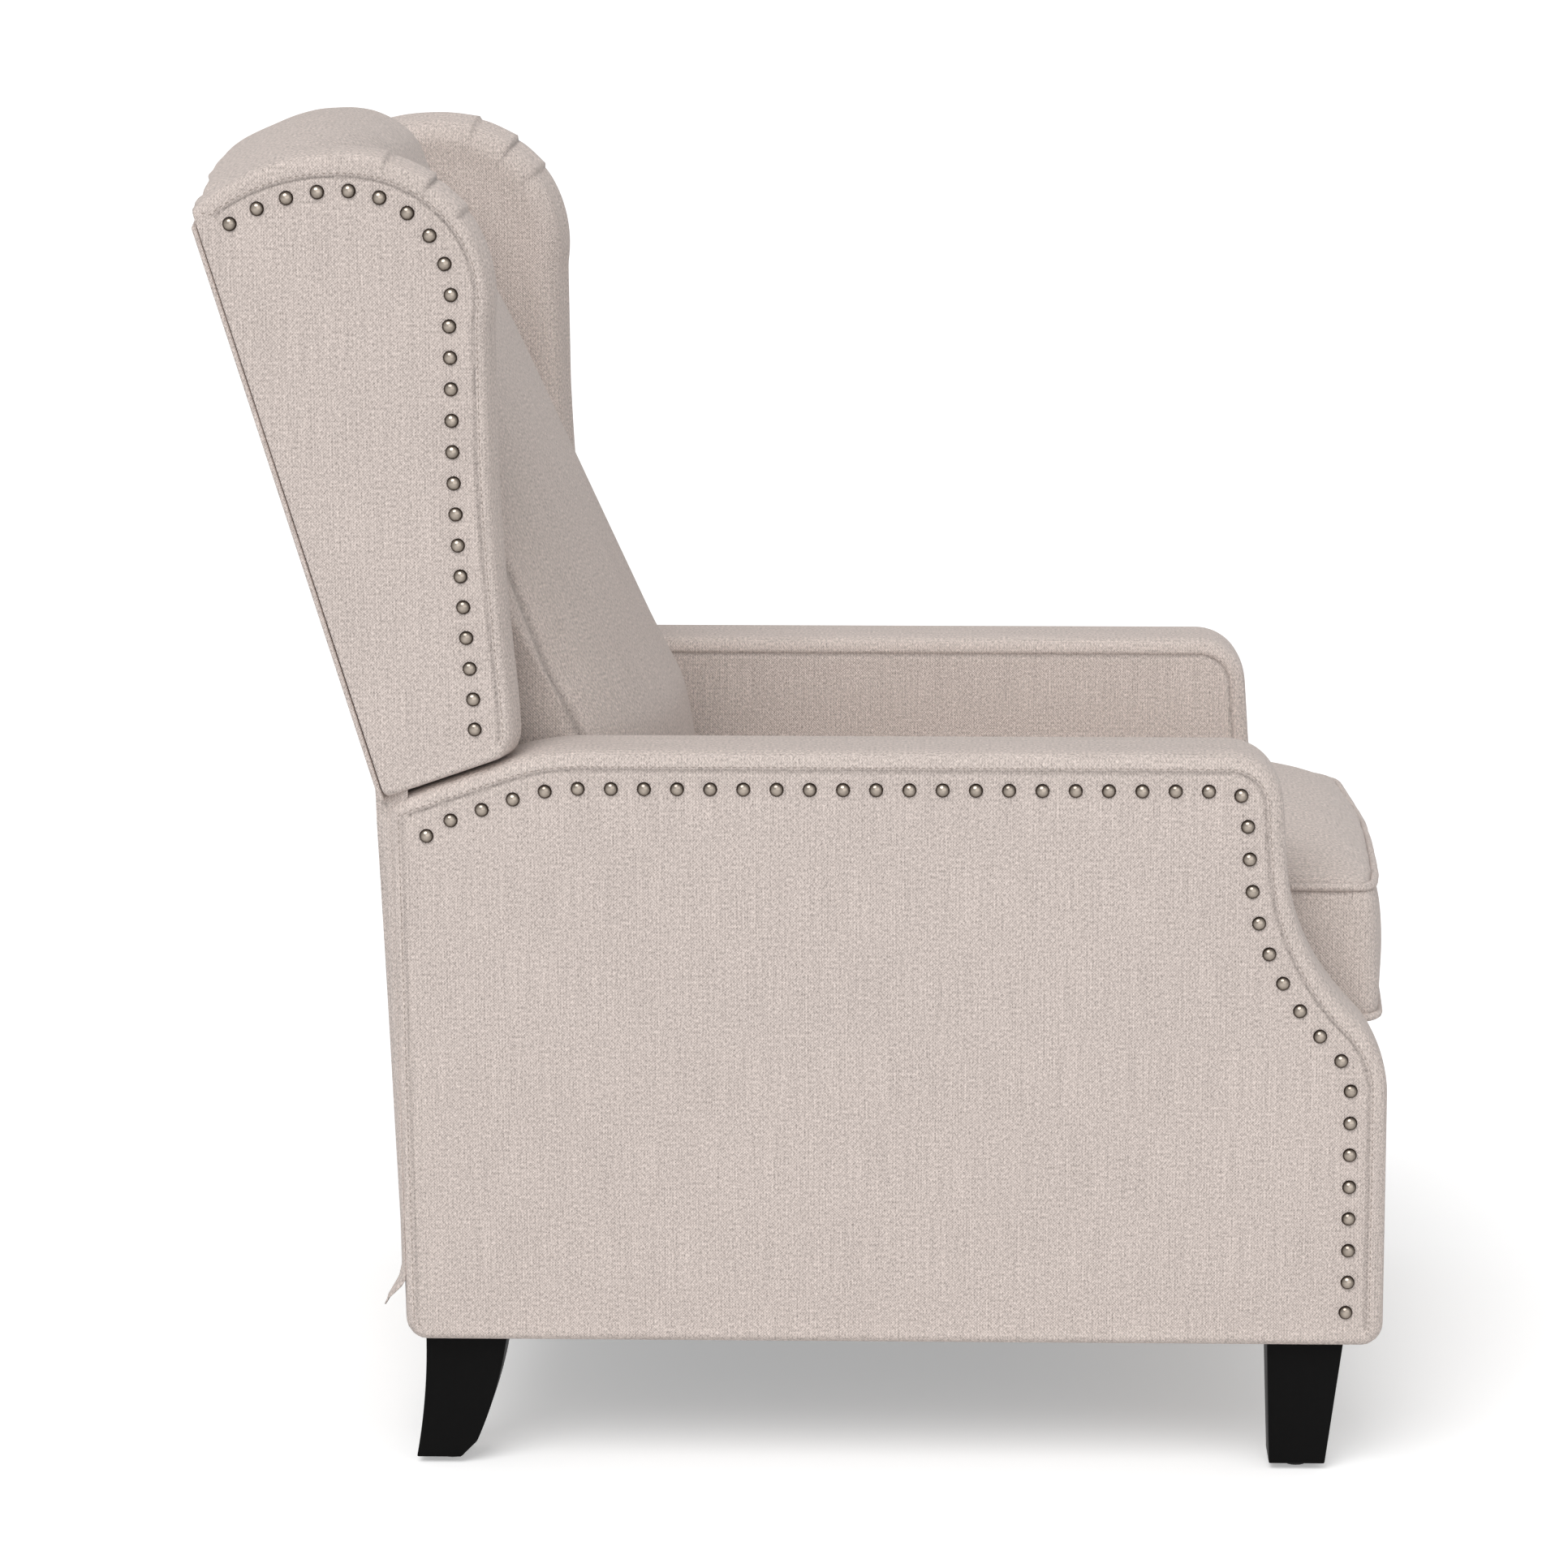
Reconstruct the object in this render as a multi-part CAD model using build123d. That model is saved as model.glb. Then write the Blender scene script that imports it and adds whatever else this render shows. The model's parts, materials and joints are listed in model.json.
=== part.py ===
from build123d import *
import math
import os

# Wingback recliner that is pushed back to recline: the back tips rearwards, the seat slides forwards and
# the front panel unfolds into a footrest.  The chair faces -Y, +X is the sitter's left, +Z is up.
# Millimetres and degrees.  "Reach" is a distance forwards (-Y).

# ---------------------------------------------------------------- overall frame
SEAT_WIDTH = 510.0            # clear width between the arms
ARM_THICKNESS = 90.0
GLIDE_HEIGHT = 5.0
LEG_HEIGHT = 101.0            # underside of the base above the glides
ARM_HEIGHT = 471.0            # top of the arm above the underside of the base
FRONT_REACH = 460.0           # front face of the base
REAR_REACH = -307.0           # rear face of the arms at the bottom
ARM_REAR_LEAN = 6.0           # the arm's rear edge leans back this much at its top
SEAT_GAP = 0.3                # clearance of pieces that rest on each other
RUNNING_GAP = 0.5             # clearance of flat faces that pass each other
BEYOND = 1200.0               # longer than anything that a trimming tool cuts

# ---------------------------------------------------------------- arm outline
ARM_TOP_SETBACK = 86.0        # front of the arm's top behind the base front
SHOULDER_HEIGHT = 203.0       # the base front is upright to this height
SHOULDER_ROLL = (24.0, 58.0)  # setback and rise of the convex curve above it
POST_SETBACK = 80.5           # setback where the hollow curve above that meets the arm's front post
POST_DROP = 82.0              # that place below the top of the arm
ARM_SLOPE = 0.3456            # fall of the arm's rear top per millimetre
ARM_KNEE = 197.0              # the rear top starts to fall here (Y)
ARM_TOP_RADIUS = 42.0
ARM_KNEE_RADIUS = 190.0
ARM_REAR_RADIUS = 17.0
ARM_BOTTOM_RADIUS = 17.0
ARM_EDGE_BEVELS = (11.0, 4.5)  # crown of the boxing band along both side edges, in two steps

# ---------------------------------------------------------------- arm frame
COVER_MARGIN = 18.0           # padding round the frame's outline
OUTER_PADDING = 5.0           # over the side panel
INNER_PADDING = 14.0          # on the sitter's side
SIDE_PANEL = 15.0             # plywood
RAIL_HEIGHT = 36.0
POST_DEPTH = 40.0
FRONT_POST_SETBACK = 104.0    # front face of the front post behind the base front
REAR_POST_SETBACK = 59.0      # front face of the rear post in front of the base rear
REAR_POST_DROP = 22.0         # top of the rear post below the falling rear top
RAIL_END_GAP = 30.0           # ends of the bottom rail inside the outline

# ---------------------------------------------------------------- nailheads
NAIL_RADIUS = 5.5
NAIL_CROWN_RADIUS = 2.6
NAIL_HEIGHT = 3.0
NAIL_SIDES = 6
NAIL_LINE_SAMPLES = 720
NAIL_INSET = 29.0             # from the silhouette of an arm or a wing
ARM_NAIL_COUNT = 43
ARM_NAIL_REAR = (3.0, 67.0)   # first nail in front of the base rear, below the arm's top
ARM_NAIL_FOOT = 21.0          # last nail above the underside
WING_NAIL_COUNT = 24
WING_NAIL_REAR = (10.0, 14.0)  # first nail in front of and below the wing's rear top corner
WING_NAIL_FOOT = (17.0, 38.0)  # last nail behind the wing's front foot, below its straight front

# ---------------------------------------------------------------- legs
FRONT_LEG_TOP = (56.0, 60.0)  # width, depth
FRONT_LEG_FOOT = (42.0, 44.0)
FRONT_LEG_SETBACK = 90.0      # rear face of the front leg behind the base front
FRONT_LEG_TUCK = 3.0          # the foot's rear face in front of the top's
REAR_LEG_WIDTH = 48.0
REAR_LEG_TOP = 64.0
REAR_LEG_SETBACK = 78.0       # front face of the rear leg at its top, in front of the base rear
REAR_LEG_KICK = 25.0          # how far the foot's front edge stands behind it
REAR_LEG_FLARE = 9.0          # how far the foot's rear edge stands behind the top
REAR_LEG_BEVEL = 13.0
GLIDE_RADIUS = 8.5
GLIDE_SIDES = 16
BOLT_RADIUS = 4.0
BOLT_SIDES = 8
BOLT_DEPTH = 34.0             # into the leg, and above it into the arm's bottom rail
HOLE_CLEARANCE = 0.2

# ---------------------------------------------------------------- cross members of the base
CROSS_RAIL_THICKNESS = 22.0
CROSS_RAIL_HEIGHT = 80.0
FRONT_CROSS_SETBACK = 237.0   # front face behind the base front
REAR_CROSS_SETBACK = 25.0     # front face in front of the base rear
CORNER_BLOCK = 55.0
CORNER_BLOCK_HEIGHT = 40.0
DUST_COVER_THICKNESS = 1.2
FLAP_THICKNESS = 1.5
FLAP_OVERLAP = 12.0
FLAP_REST_RISE = 94.0         # it meets the frame's rear at this height above the underside
FLAP_LAP_RISE = 60.0          # and leaves it again at this one
FLAP_SIDE_INSET = 2.0
FLAP_HEM_HEIGHT = 34.0        # hem above the underside of the base
FLAP_FLARE = 6.0

# ---------------------------------------------------------------- back
BACK_LEAN = 17.0
BACK_FOOT = (16.4, -28.4)     # a point on the outside of the back: behind the base rear, above the arm's top
WING_GAP = 3.0                # wing above arm
WING_TOP_SIDE = 414.0         # height of the wing's rear top corner above the arm's top
WING_PEAK = (345.0, 457.0)    # Y and height above the arm's top, here and for the places below
WING_TOP_MID = (405.0, 445.5)
WING_SHOULDER_MID = (259.0, 422.0)
WING_SHOULDER_END = (231.0, 328.0)
WING_FRONT_STRAIGHT = (230.0, 223.0)
WING_FRONT_MID = (225.5, 138.0)
WING_FRONT_LOW = (217.0, 43.0)
WING_FOOT_Y = 214.5
WING_FOOT_RADIUS = 22.0
WING_THICKNESS = 67.0
WING_OUTER_BEVELS = (10.0, 4.0)
WING_INNER_BEVELS = (14.0, 5.5)
WING_PAD_RISE = 40.0          # foot of the pad between wing and post above the wing's foot
WING_MARGIN = 20.0
WING_BOARD = 18.0
PANEL_THICKNESS = 4.0         # outside back panel
PANEL_TOP_RISE = 33.0         # arch of the panel's top above the wing corner
POST_WIDTH = 22.0
POST_THICKNESS = 45.0
POST_FOOT = 404.0
POST_TOP = 353.0              # above the arm's top
BACK_BODY_GAP = 8.8           # back posts clear of the arms, each side
LOWER_RAIL_HEIGHT = 40.0
TOP_RAIL_SIDE = 42.0          # height of the arched top rail at its ends
TOP_RAIL_ARCH = 32.0
STRAP_COUNT = 5
STRAP_WIDTH = 50.0
STRAP_THICKNESS = 2.0
STRAP_FIRST = 66.0            # lowest strap above the posts' feet

# ---------------------------------------------------------------- back cushion
CUSHION_SIDE_GAP = 6.0        # to the wing pads
CUSHION_ARM_GAP = 5.0         # to the arms
CUSHION_NOTCH = 15.0          # up to this height above the arm's top it is narrow enough to pass the arms
CUSHION_CROWN = 62.0          # how far the middle stands forward of the sides
CUSHION_ARCH = 27.0           # fall of the rear top edge from the middle to the wings
CUSHION_TOP_FALL = 34.0
CUSHION_STATIONS = 13
CUSHION_ARC_STEPS = 4         # flats in each curve of a cushion's section
CUSHION_CROWN_POWER = 2.2     # how square the cushion's front is across its width
CUSHION_FOOT = 404.0
CUSHION_STEP = 431.0          # underside of the padding over the top rail, above the arm's top
CUSHION_PEAK = (382.0, 479.0)  # Y and height above the arm's top, here and for the places below
CUSHION_PEAK_REAR = (426.0, 470.0)
CUSHION_PEAK_FRONT = (351.0, 468.0)
CUSHION_BROW = (328.0, 431.0)
CUSHION_LUMBAR = (148.0, 40.0)
CUSHION_SEAT_MID = (107.0, 517.0)   # Y, Z
CUSHION_SEAT_LOW = (104.0, 410.0)

# ---------------------------------------------------------------- back hinge
HINGE_SETBACK = 42.0          # the back's pivot in front of the base rear
HINGE_HEIGHT = 385.0
HINGE_HEAD_RADIUS = 8.0
HINGE_HEAD_SIDES = 6
HINGE_HEAD = 3.0
HINGE_PIN_RADIUS = 5.0
PIN_CLEARANCE = 0.05
BRACKET_THICKNESS = 3.5
BRACKET_RADIUS = 16.0
BOSS_SIDES = 12               # flats round the end of a steel plate
BRACKET_HEIGHT = 95.0         # from the pivot to the top of the bracket
PIVOT_PLATE_THICKNESS = 3.7

# ---------------------------------------------------------------- seat
RAIL_BOTTOM = 302.0
SEAT_RAIL_HEIGHT = 40.0
SEAT_RAIL_THICKNESS = 21.7
SEAT_RAIL_SETBACK = 45.0      # front of the side rails behind the base front
SEAT_REAR_SETBACK = 135.0     # rear of the side rails in front of the base rear
SEAT_CROSS_RAIL = 22.0
SPRING_COUNT = 5
SPRING_PITCH = 84.0
SPRING_WAVES = 6
SPRING_AMPLITUDE = 24.0
SPRING_WIRE = 3.6
SEAT_CUSHION_SETBACK = 8.0    # front face behind the base front
SEAT_CUSHION_HEIGHT = 109.0   # bottom to the top seam
SEAT_CUSHION_CROWN = 41.0
SEAT_CUSHION_SWELL = [        # share of the length, share of the crown
    (0.0, 0.10), (0.05, 0.55), (0.16, 0.86), (0.4, 1.0), (0.7, 0.98), (0.92, 0.8), (1.0, 0.55)]
SEAT_ARC_STEPS = 10            # flats across the cushion's crown
SEAT_CUSHION_REAR = 213.0     # rear face in front of the base rear
SEAT_CUSHION_SIDE_GAP = 7.2   # leaves room for the welt
SEAT_CUSHION_DRAW = 3.0       # sides drawn in between the corners
WELT_RADIUS = 3.0
WELT_SIDES = 6
WELT_CORNER = 16.0

# ---------------------------------------------------------------- slide
SLIDE_ANGLE = 6.0             # the seat rises as it comes forward
SLIDE_TRAVEL = 50.0
ROLLER_RADIUS = 9.5
ROLLER_WIDTH = 8.0
ROLLER_SIDES = 20
FRONT_ROLLER_SETBACK = 225.0  # behind the base front
REAR_ROLLER_SETBACK = 272.0   # in front of the base rear
STUD_RADIUS = 4.0
STUD_SIDES = 8
TRACK_END = 40.0              # track beyond each end of the rollers' travel
TRACK_WALL = 3.0
TRACK_DEPTH = 16.0
TRACK_CLEARANCE = 0.5

# ---------------------------------------------------------------- footrest linkage (reach, height)
LINK_SETBACK = 60.0           # the lower link's pivot behind the base front
LINK_DROP = 2.0               # and below the side rails
LINK_LENGTH = 150.0
LOWER_LINK_ANGLE = 235.0      # at rest; 330 when open
UPPER_LINK_ANGLE = 55.0       # at rest; 30 when open
STAY_PLACE = (18.0, -22.9)    # the lower stay's pivot on the side plate, from the link's pivot
UPPER_TAIL = (0.2, -21.0)     # lower stay's pin on the upper link: along it and across it from the knee
LOWER_TAIL = (156.7, -22.2)   # upper stay's pin on the lower link: along it and across it from its pivot
BRACKET_PIN = (-27.4, 6.0)    # upper stay's pin on the footrest bracket, from the footrest pivot
LINK_PLATE = 3.0
LINK_RADIUS = 8.0
STAY_ROOM = 1.7               # room behind the upper stay's slanting end, in link radii
LINK_PIN_RADIUS = 3.5
LINK_PIN_SIDES = 16
SIDE_PLATE_TAIL = 55.0        # length of the side plate behind the link's pivot
SIDE_PLATE_RISE = 26.0        # its height on the rail
SIDE_PLATE_STEP = 12.0
FLANGE_WIDTH = 24.0           # of the footrest bracket
FLANGE_RISE = 20.0
FLANGE_DROP = 60.0
FREE_PIN_CLEARANCE = 1.9      # the open pivots, where each stay meets its free end
BOARD_THICKNESS = 11.0
BOARD_SETBACK = 33.0          # rear face of the footrest board behind the base front
BOARD_INSET = 20.0
BOARD_BOTTOM = 122.0
BOARD_TOP = 330.0
PAD_THICKNESS = 15.0
PAD_CROWN = 5.0
PAD_EDGE = 5.0
PAD_STATIONS = [              # share of the half width, fullness of the crown and of the edge
    (-1.0, 0.3, 0.0), (-0.96, 0.7, 1.0), (-0.5, 1.0, 1.0), (0.5, 1.0, 1.0), (0.96, 0.7, 1.0), (1.0, 0.3, 0.0)]
PAD_GAP = 2.0                 # footrest pad to the arms
PAD_MARGIN = 8.0              # pad beyond the board, above and below

# ---------------------------------------------------------------- places worked out from the sizes
ARM_INNER = SEAT_WIDTH / 2
ARM_OUTER = ARM_INNER + ARM_THICKNESS
BASE_BOTTOM = GLIDE_HEIGHT + LEG_HEIGHT
ARM_TOP = BASE_BOTTOM + ARM_HEIGHT
BASE_FRONT = -FRONT_REACH
BASE_REAR = -REAR_REACH
HINGE = (BASE_REAR - HINGE_SETBACK, HINGE_HEIGHT)
CAVITY_INNER = ARM_INNER + INNER_PADDING
CAVITY_OUTER = ARM_OUTER - OUTER_PADDING
WING_INNER = ARM_OUTER - WING_THICKNESS
POST_OUTER = ARM_INNER - BACK_BODY_GAP
SEAT_BOTTOM = RAIL_BOTTOM + SEAT_RAIL_HEIGHT + SPRING_WIRE + 2 * SEAT_GAP
SEAT_HALF = ARM_INNER - SEAT_CUSHION_SIDE_GAP
LAYER = LINK_PLATE + RUNNING_GAP
RAIL_INNER = ARM_INNER - BACK_BODY_GAP - 38.2


def back_line(z, depth=0.0):
    """Y of the outside of the back at height z, less a depth into the back."""
    rise = z - ARM_TOP - BACK_FOOT[1]
    return BASE_REAR + BACK_FOOT[0] + rise * math.tan(math.radians(BACK_LEAN)) - depth


def above_arm(place):
    """A place given as Y and height above the arm's top, as (Y, Z)."""
    return place[0], ARM_TOP + place[1]


def arm_slope_line(y):
    """Height of the arm's falling rear top at y."""
    return ARM_TOP - (y - ARM_KNEE) * ARM_SLOPE


def box(x, y, z):
    """A block between pairs of limits."""
    middle = Pos((x[0] + x[1]) / 2, (y[0] + y[1]) / 2, (z[0] + z[1]) / 2)
    return middle * Box(x[1] - x[0], y[1] - y[0], z[1] - z[0])


def from_side(outline, x_low, x_high):
    """Thicken an outline drawn in the side view (Y, Z) from x_low to x_high."""
    return extrude(Plane.YZ.offset(x_low) * outline, x_high - x_low, dir=(1, 0, 0))


def disc(point, radius, x_low, x_high):
    """A round bar along X at a point (Y, Z) of the side view."""
    return from_side(Pos(*point) * Circle(radius), x_low, x_high)


def hull_plate(points, radius, x_low, x_high):
    """A plate whose outline wraps an equal boss round each point of the side view."""
    bosses = Sketch() + [Pos(*point) * RegularPolygon(radius, BOSS_SIDES) for point in points]
    return from_side(make_hull(bosses.edges()), x_low, x_high)


def polygon(points):
    return make_face(Polyline(*points, close=True))


def round_corners(face, corners):
    """Round the corner of a flat face that is nearest to each given point."""
    for point, radius in corners:
        corner = face.vertices().sort_by_distance((point[0], point[1], 0))[0]
        face = fillet(corner, radius)
    return face


def mirrored(solid):
    return mirror(solid, Plane.YZ)


def prism(point, radius, sides, x_low, x_high):
    """A bar along X with flat sides at a point (Y, Z) of the side view."""
    return from_side(Pos(*point) * RegularPolygon(radius, sides), x_low, x_high)


def bevelled(body, face_end, keep, bevels):
    """Bevel the kept edges of the body's lowest (0) or highest (-1) face along X, in steps."""
    for bevel in bevels:
        face = body.faces().sort_by(Axis.X)[face_end]
        body = chamfer([edge for edge in face.edges() if keep(edge)], bevel)
    return body


# ================================================================ arms
def arm_outline():
    rear_top_y = BASE_REAR + ARM_REAR_LEAN
    shoulder = (BASE_FRONT, BASE_BOTTOM + SHOULDER_HEIGHT)
    roll = (shoulder[0] + SHOULDER_ROLL[0], shoulder[1] + SHOULDER_ROLL[1])
    post = (BASE_FRONT + POST_SETBACK, ARM_TOP - POST_DROP)
    corner = (BASE_FRONT + ARM_TOP_SETBACK, ARM_TOP)
    knee = (ARM_KNEE, ARM_TOP)
    rear_top = (rear_top_y, arm_slope_line(rear_top_y))
    rear_foot = (BASE_REAR, BASE_BOTTOM)
    front_foot = (BASE_FRONT, BASE_BOTTOM)
    convex = TangentArc(shoulder, roll, tangent=(0, 1))
    hollow = TangentArc(roll, post, tangent=convex % 1)
    edges = [Line(front_foot, shoulder), convex, hollow, Line(post, corner), Line(corner, knee),
             Line(knee, rear_top), Line(rear_top, rear_foot), Line(rear_foot, front_foot)]
    return round_corners(make_face(edges), [
        (corner, ARM_TOP_RADIUS), (knee, ARM_KNEE_RADIUS), (rear_top, ARM_REAR_RADIUS),
        (rear_foot, ARM_BOTTOM_RADIUS), (front_foot, ARM_BOTTOM_RADIUS)])


def leg_bolt_places():
    """Centres of the four leg bolts, sitter's left side only: (x, y)."""
    x = (ARM_INNER + ARM_OUTER) / 2
    front_y = BASE_FRONT + FRONT_LEG_SETBACK - FRONT_LEG_TOP[1] / 2
    rear_y = BASE_REAR - REAR_LEG_SETBACK + REAR_LEG_TOP / 2
    return [(x, front_y), (x, rear_y)]


def bolt_bars(radius, low, high):
    """Upright eight-sided bars at the leg bolts' places."""
    outline = RegularPolygon(radius, BOLT_SIDES)
    return [extrude(Plane.XY.offset(low) * Pos(*place) * outline, high - low, dir=(0, 0, 1))
            for place in leg_bolt_places()]


def bolt_holes():
    """The leg bolts' clearance holes, through the legs, the covers and the bottom rails."""
    low = BASE_BOTTOM - BOLT_DEPTH - SEAT_GAP
    high = BASE_BOTTOM + COVER_MARGIN + BOLT_DEPTH + SEAT_GAP
    return bolt_bars(BOLT_RADIUS + HOLE_CLEARANCE, low, high)


def arm_cover(outline):
    body = from_side(outline, ARM_INNER, ARM_OUTER)
    for face_end in (0, -1):
        body = bevelled(body, face_end, lambda edge: True, ARM_EDGE_BEVELS)
    cavity = from_side(offset(outline, -COVER_MARGIN), CAVITY_INNER, CAVITY_OUTER)
    return body - cavity - bolt_holes()


def arm_panel(outline):
    board = offset(outline, -COVER_MARGIN - SEAT_GAP)
    return from_side(board, CAVITY_OUTER - SEAT_GAP - SIDE_PANEL, CAVITY_OUTER - SEAT_GAP)


def arm_frame_span():
    return CAVITY_INNER + SEAT_GAP, CAVITY_OUTER - 2 * SEAT_GAP - SIDE_PANEL


def arm_rails():
    span = arm_frame_span()
    top = ARM_TOP - COVER_MARGIN - SEAT_GAP
    bottom = BASE_BOTTOM + COVER_MARGIN + SEAT_GAP
    front = BASE_FRONT + RAIL_END_GAP
    rear = BASE_REAR - RAIL_END_GAP
    top_front = BASE_FRONT + ARM_TOP_SETBACK + ARM_TOP_RADIUS
    top_rail = box(span, (top_front, ARM_KNEE - RAIL_END_GAP), (top - RAIL_HEIGHT, top))
    bottom_rail = box(span, (front, rear), (bottom, bottom + RAIL_HEIGHT))
    return [top_rail, bottom_rail - bolt_holes()]


def arm_posts():
    span = arm_frame_span()
    foot = BASE_BOTTOM + COVER_MARGIN + RAIL_HEIGHT + 2 * SEAT_GAP
    front_top = ARM_TOP - COVER_MARGIN - RAIL_HEIGHT - 2 * SEAT_GAP
    rear_y = BASE_REAR - REAR_POST_SETBACK
    rear_top = arm_slope_line(rear_y + POST_DEPTH) - REAR_POST_DROP
    front_y = BASE_FRONT + FRONT_POST_SETBACK
    return [box(span, (front_y, front_y + POST_DEPTH), (foot, front_top)),
            box(span, (rear_y, rear_y + POST_DEPTH), (foot, rear_top))]


# ================================================================ nailheads
def skin(rings, flat_sides=False):
    """A solid of flat faces through rings of as many points each, closed by its first and last ring."""
    faces = [polygon(rings[0]), polygon(rings[-1])]
    for ring, after in zip(rings, rings[1:]):
        for a in range(len(ring)):
            b = (a + 1) % len(ring)
            if flat_sides:
                faces.append(polygon([ring[a], ring[b], after[b], after[a]]))
            else:
                faces += [polygon([ring[a], ring[b], after[b]]), polygon([ring[a], after[b], after[a]])]
    return Solid(Shell([side.face() for side in faces]))


def nail_head():
    """A nail's head with flat facets, seated on the plane X = 0 and standing out along +X."""
    turns = [math.tau * index / NAIL_SIDES for index in range(NAIL_SIDES)]
    rings = [[Vector(x, radius * math.cos(turn), radius * math.sin(turn)) for turn in turns]
             for x, radius in ((0, NAIL_RADIUS), (NAIL_HEIGHT, NAIL_CROWN_RADIUS))]
    return skin(rings, flat_sides=True)


def nails_along(outline, start, end, count):
    """Nailheads at equal steps on the outline's inset line, from nearest start to nearest end."""
    line = offset(outline, -NAIL_INSET).face().outer_wire()
    samples = NAIL_LINE_SAMPLES
    points = [line.position_at(index / samples) for index in range(samples)]

    def nearest(target):
        return min(range(samples), key=lambda i: math.dist((points[i].X, points[i].Y), target))

    first, last = nearest(start), nearest(end)
    ways = [(last - first) % samples, -((first - last) % samples)]
    middle_high = [points[(first + way // 2) % samples].Y for way in ways]
    way = ways[0] if middle_high[0] > middle_high[1] else ways[1]
    stations = [(first + way * index / (count - 1)) / samples for index in range(count)]
    places = [line.position_at(station % 1.0) for station in stations]
    head = nail_head()
    return [Pos(ARM_OUTER, place.X, place.Y) * head for place in places]


# ================================================================ legs
def front_leg():
    """A block that tapers on three sides, as the side view's taper met with the front view's."""
    (x, y), (glide_x, glide_y) = leg_bolt_places()[0], glide_places()[0]
    heights = (GLIDE_HEIGHT, GLIDE_HEIGHT, BASE_BOTTOM, BASE_BOTTOM)
    foot, top = FRONT_LEG_FOOT[0] / 2, FRONT_LEG_TOP[0] / 2
    from_front = polygon(zip((glide_x - foot, glide_x + foot, x + top, x - top), heights))
    foot, top = FRONT_LEG_FOOT[1] / 2, FRONT_LEG_TOP[1] / 2
    profile = polygon(zip((glide_y - foot, glide_y + foot, y + top, y - top), heights))
    across = extrude(Plane.XZ.offset(-BEYOND) * from_front, 2 * BEYOND, dir=(0, -1, 0))
    return (across & from_side(profile, 0, BEYOND)) - bolt_holes()


def rear_leg():
    centre_x = leg_bolt_places()[1][0]
    front_top = (BASE_REAR - REAR_LEG_SETBACK, BASE_BOTTOM)
    rear_top = (front_top[0] + REAR_LEG_TOP, BASE_BOTTOM)
    front_foot = (front_top[0] + REAR_LEG_KICK, GLIDE_HEIGHT + REAR_LEG_BEVEL)
    bevel = (front_foot[0] + REAR_LEG_BEVEL, GLIDE_HEIGHT)
    rear_foot = (rear_top[0] + REAR_LEG_FLARE, GLIDE_HEIGHT)
    middle = BASE_BOTTOM - LEG_HEIGHT / 2
    front_edge = ThreePointArc(front_top, (front_top[0] + REAR_LEG_KICK * 0.44, middle), front_foot)
    rear_edge = ThreePointArc(rear_foot, (rear_top[0] + REAR_LEG_FLARE * 0.22, middle), rear_top)
    outline = make_face([front_edge, Line(front_foot, bevel), Line(bevel, rear_foot), rear_edge,
                         Line(rear_top, front_top)])
    leg = from_side(outline, centre_x - REAR_LEG_WIDTH / 2, centre_x + REAR_LEG_WIDTH / 2)
    return leg - bolt_holes()


def glide_places():
    """Centres of the feet of the sitter's left legs: (x, y)."""
    (x, front_y), (_, rear_y) = leg_bolt_places()
    front_rear_face = front_y + FRONT_LEG_TOP[1] / 2 - FRONT_LEG_TUCK
    bevel_end = rear_y - REAR_LEG_TOP / 2 + REAR_LEG_KICK + REAR_LEG_BEVEL
    return [(x + (FRONT_LEG_TOP[0] - FRONT_LEG_FOOT[0]) / 4, front_rear_face - FRONT_LEG_FOOT[1] / 2),
            (x, bevel_end + GLIDE_RADIUS)]


def leg_glides():
    outline = RegularPolygon(GLIDE_RADIUS, GLIDE_SIDES)
    left = [extrude(Pos(x, y) * outline, GLIDE_HEIGHT, dir=(0, 0, 1)) for x, y in glide_places()]
    return left + [mirrored(glide) for glide in left]


def leg_bolts():
    low = BASE_BOTTOM - BOLT_DEPTH
    high = BASE_BOTTOM + COVER_MARGIN + BOLT_DEPTH
    left = bolt_bars(BOLT_RADIUS, low, high)
    return left + [mirrored(bolt) for bolt in left]


# ================================================================ cross members
def cross_rail(y):
    """A rail between the arms whose front face is at y."""
    span = ARM_INNER - SEAT_GAP
    low = BASE_BOTTOM + DUST_COVER_THICKNESS + 2 * SEAT_GAP
    return box((-span, span), (y, y + CROSS_RAIL_THICKNESS), (low, low + CROSS_RAIL_HEIGHT))


def corner_blocks():
    low = BASE_BOTTOM + DUST_COVER_THICKNESS + 2 * SEAT_GAP
    x = ARM_INNER - SEAT_GAP
    front_y = BASE_FRONT + FRONT_CROSS_SETBACK + CROSS_RAIL_THICKNESS + SEAT_GAP
    rear_y = BASE_REAR - REAR_CROSS_SETBACK - SEAT_GAP
    blocks = []
    for y, way in ((front_y, 1), (rear_y, -1)):
        outline = polygon([(x, y), (x, y + way * CORNER_BLOCK), (x - CORNER_BLOCK, y)])
        blocks.append(extrude(Plane.XY.offset(low) * outline, CORNER_BLOCK_HEIGHT, dir=(0, 0, 1)))
    return blocks + [mirrored(block) for block in blocks]


def dust_cover():
    span = ARM_INNER - SEAT_GAP
    low = BASE_BOTTOM + SEAT_GAP
    limits = (BASE_FRONT + FRONT_CROSS_SETBACK, BASE_REAR - ARM_BOTTOM_RADIUS)
    return box((-span, span), limits, (low, low + DUST_COVER_THICKNESS))


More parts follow.
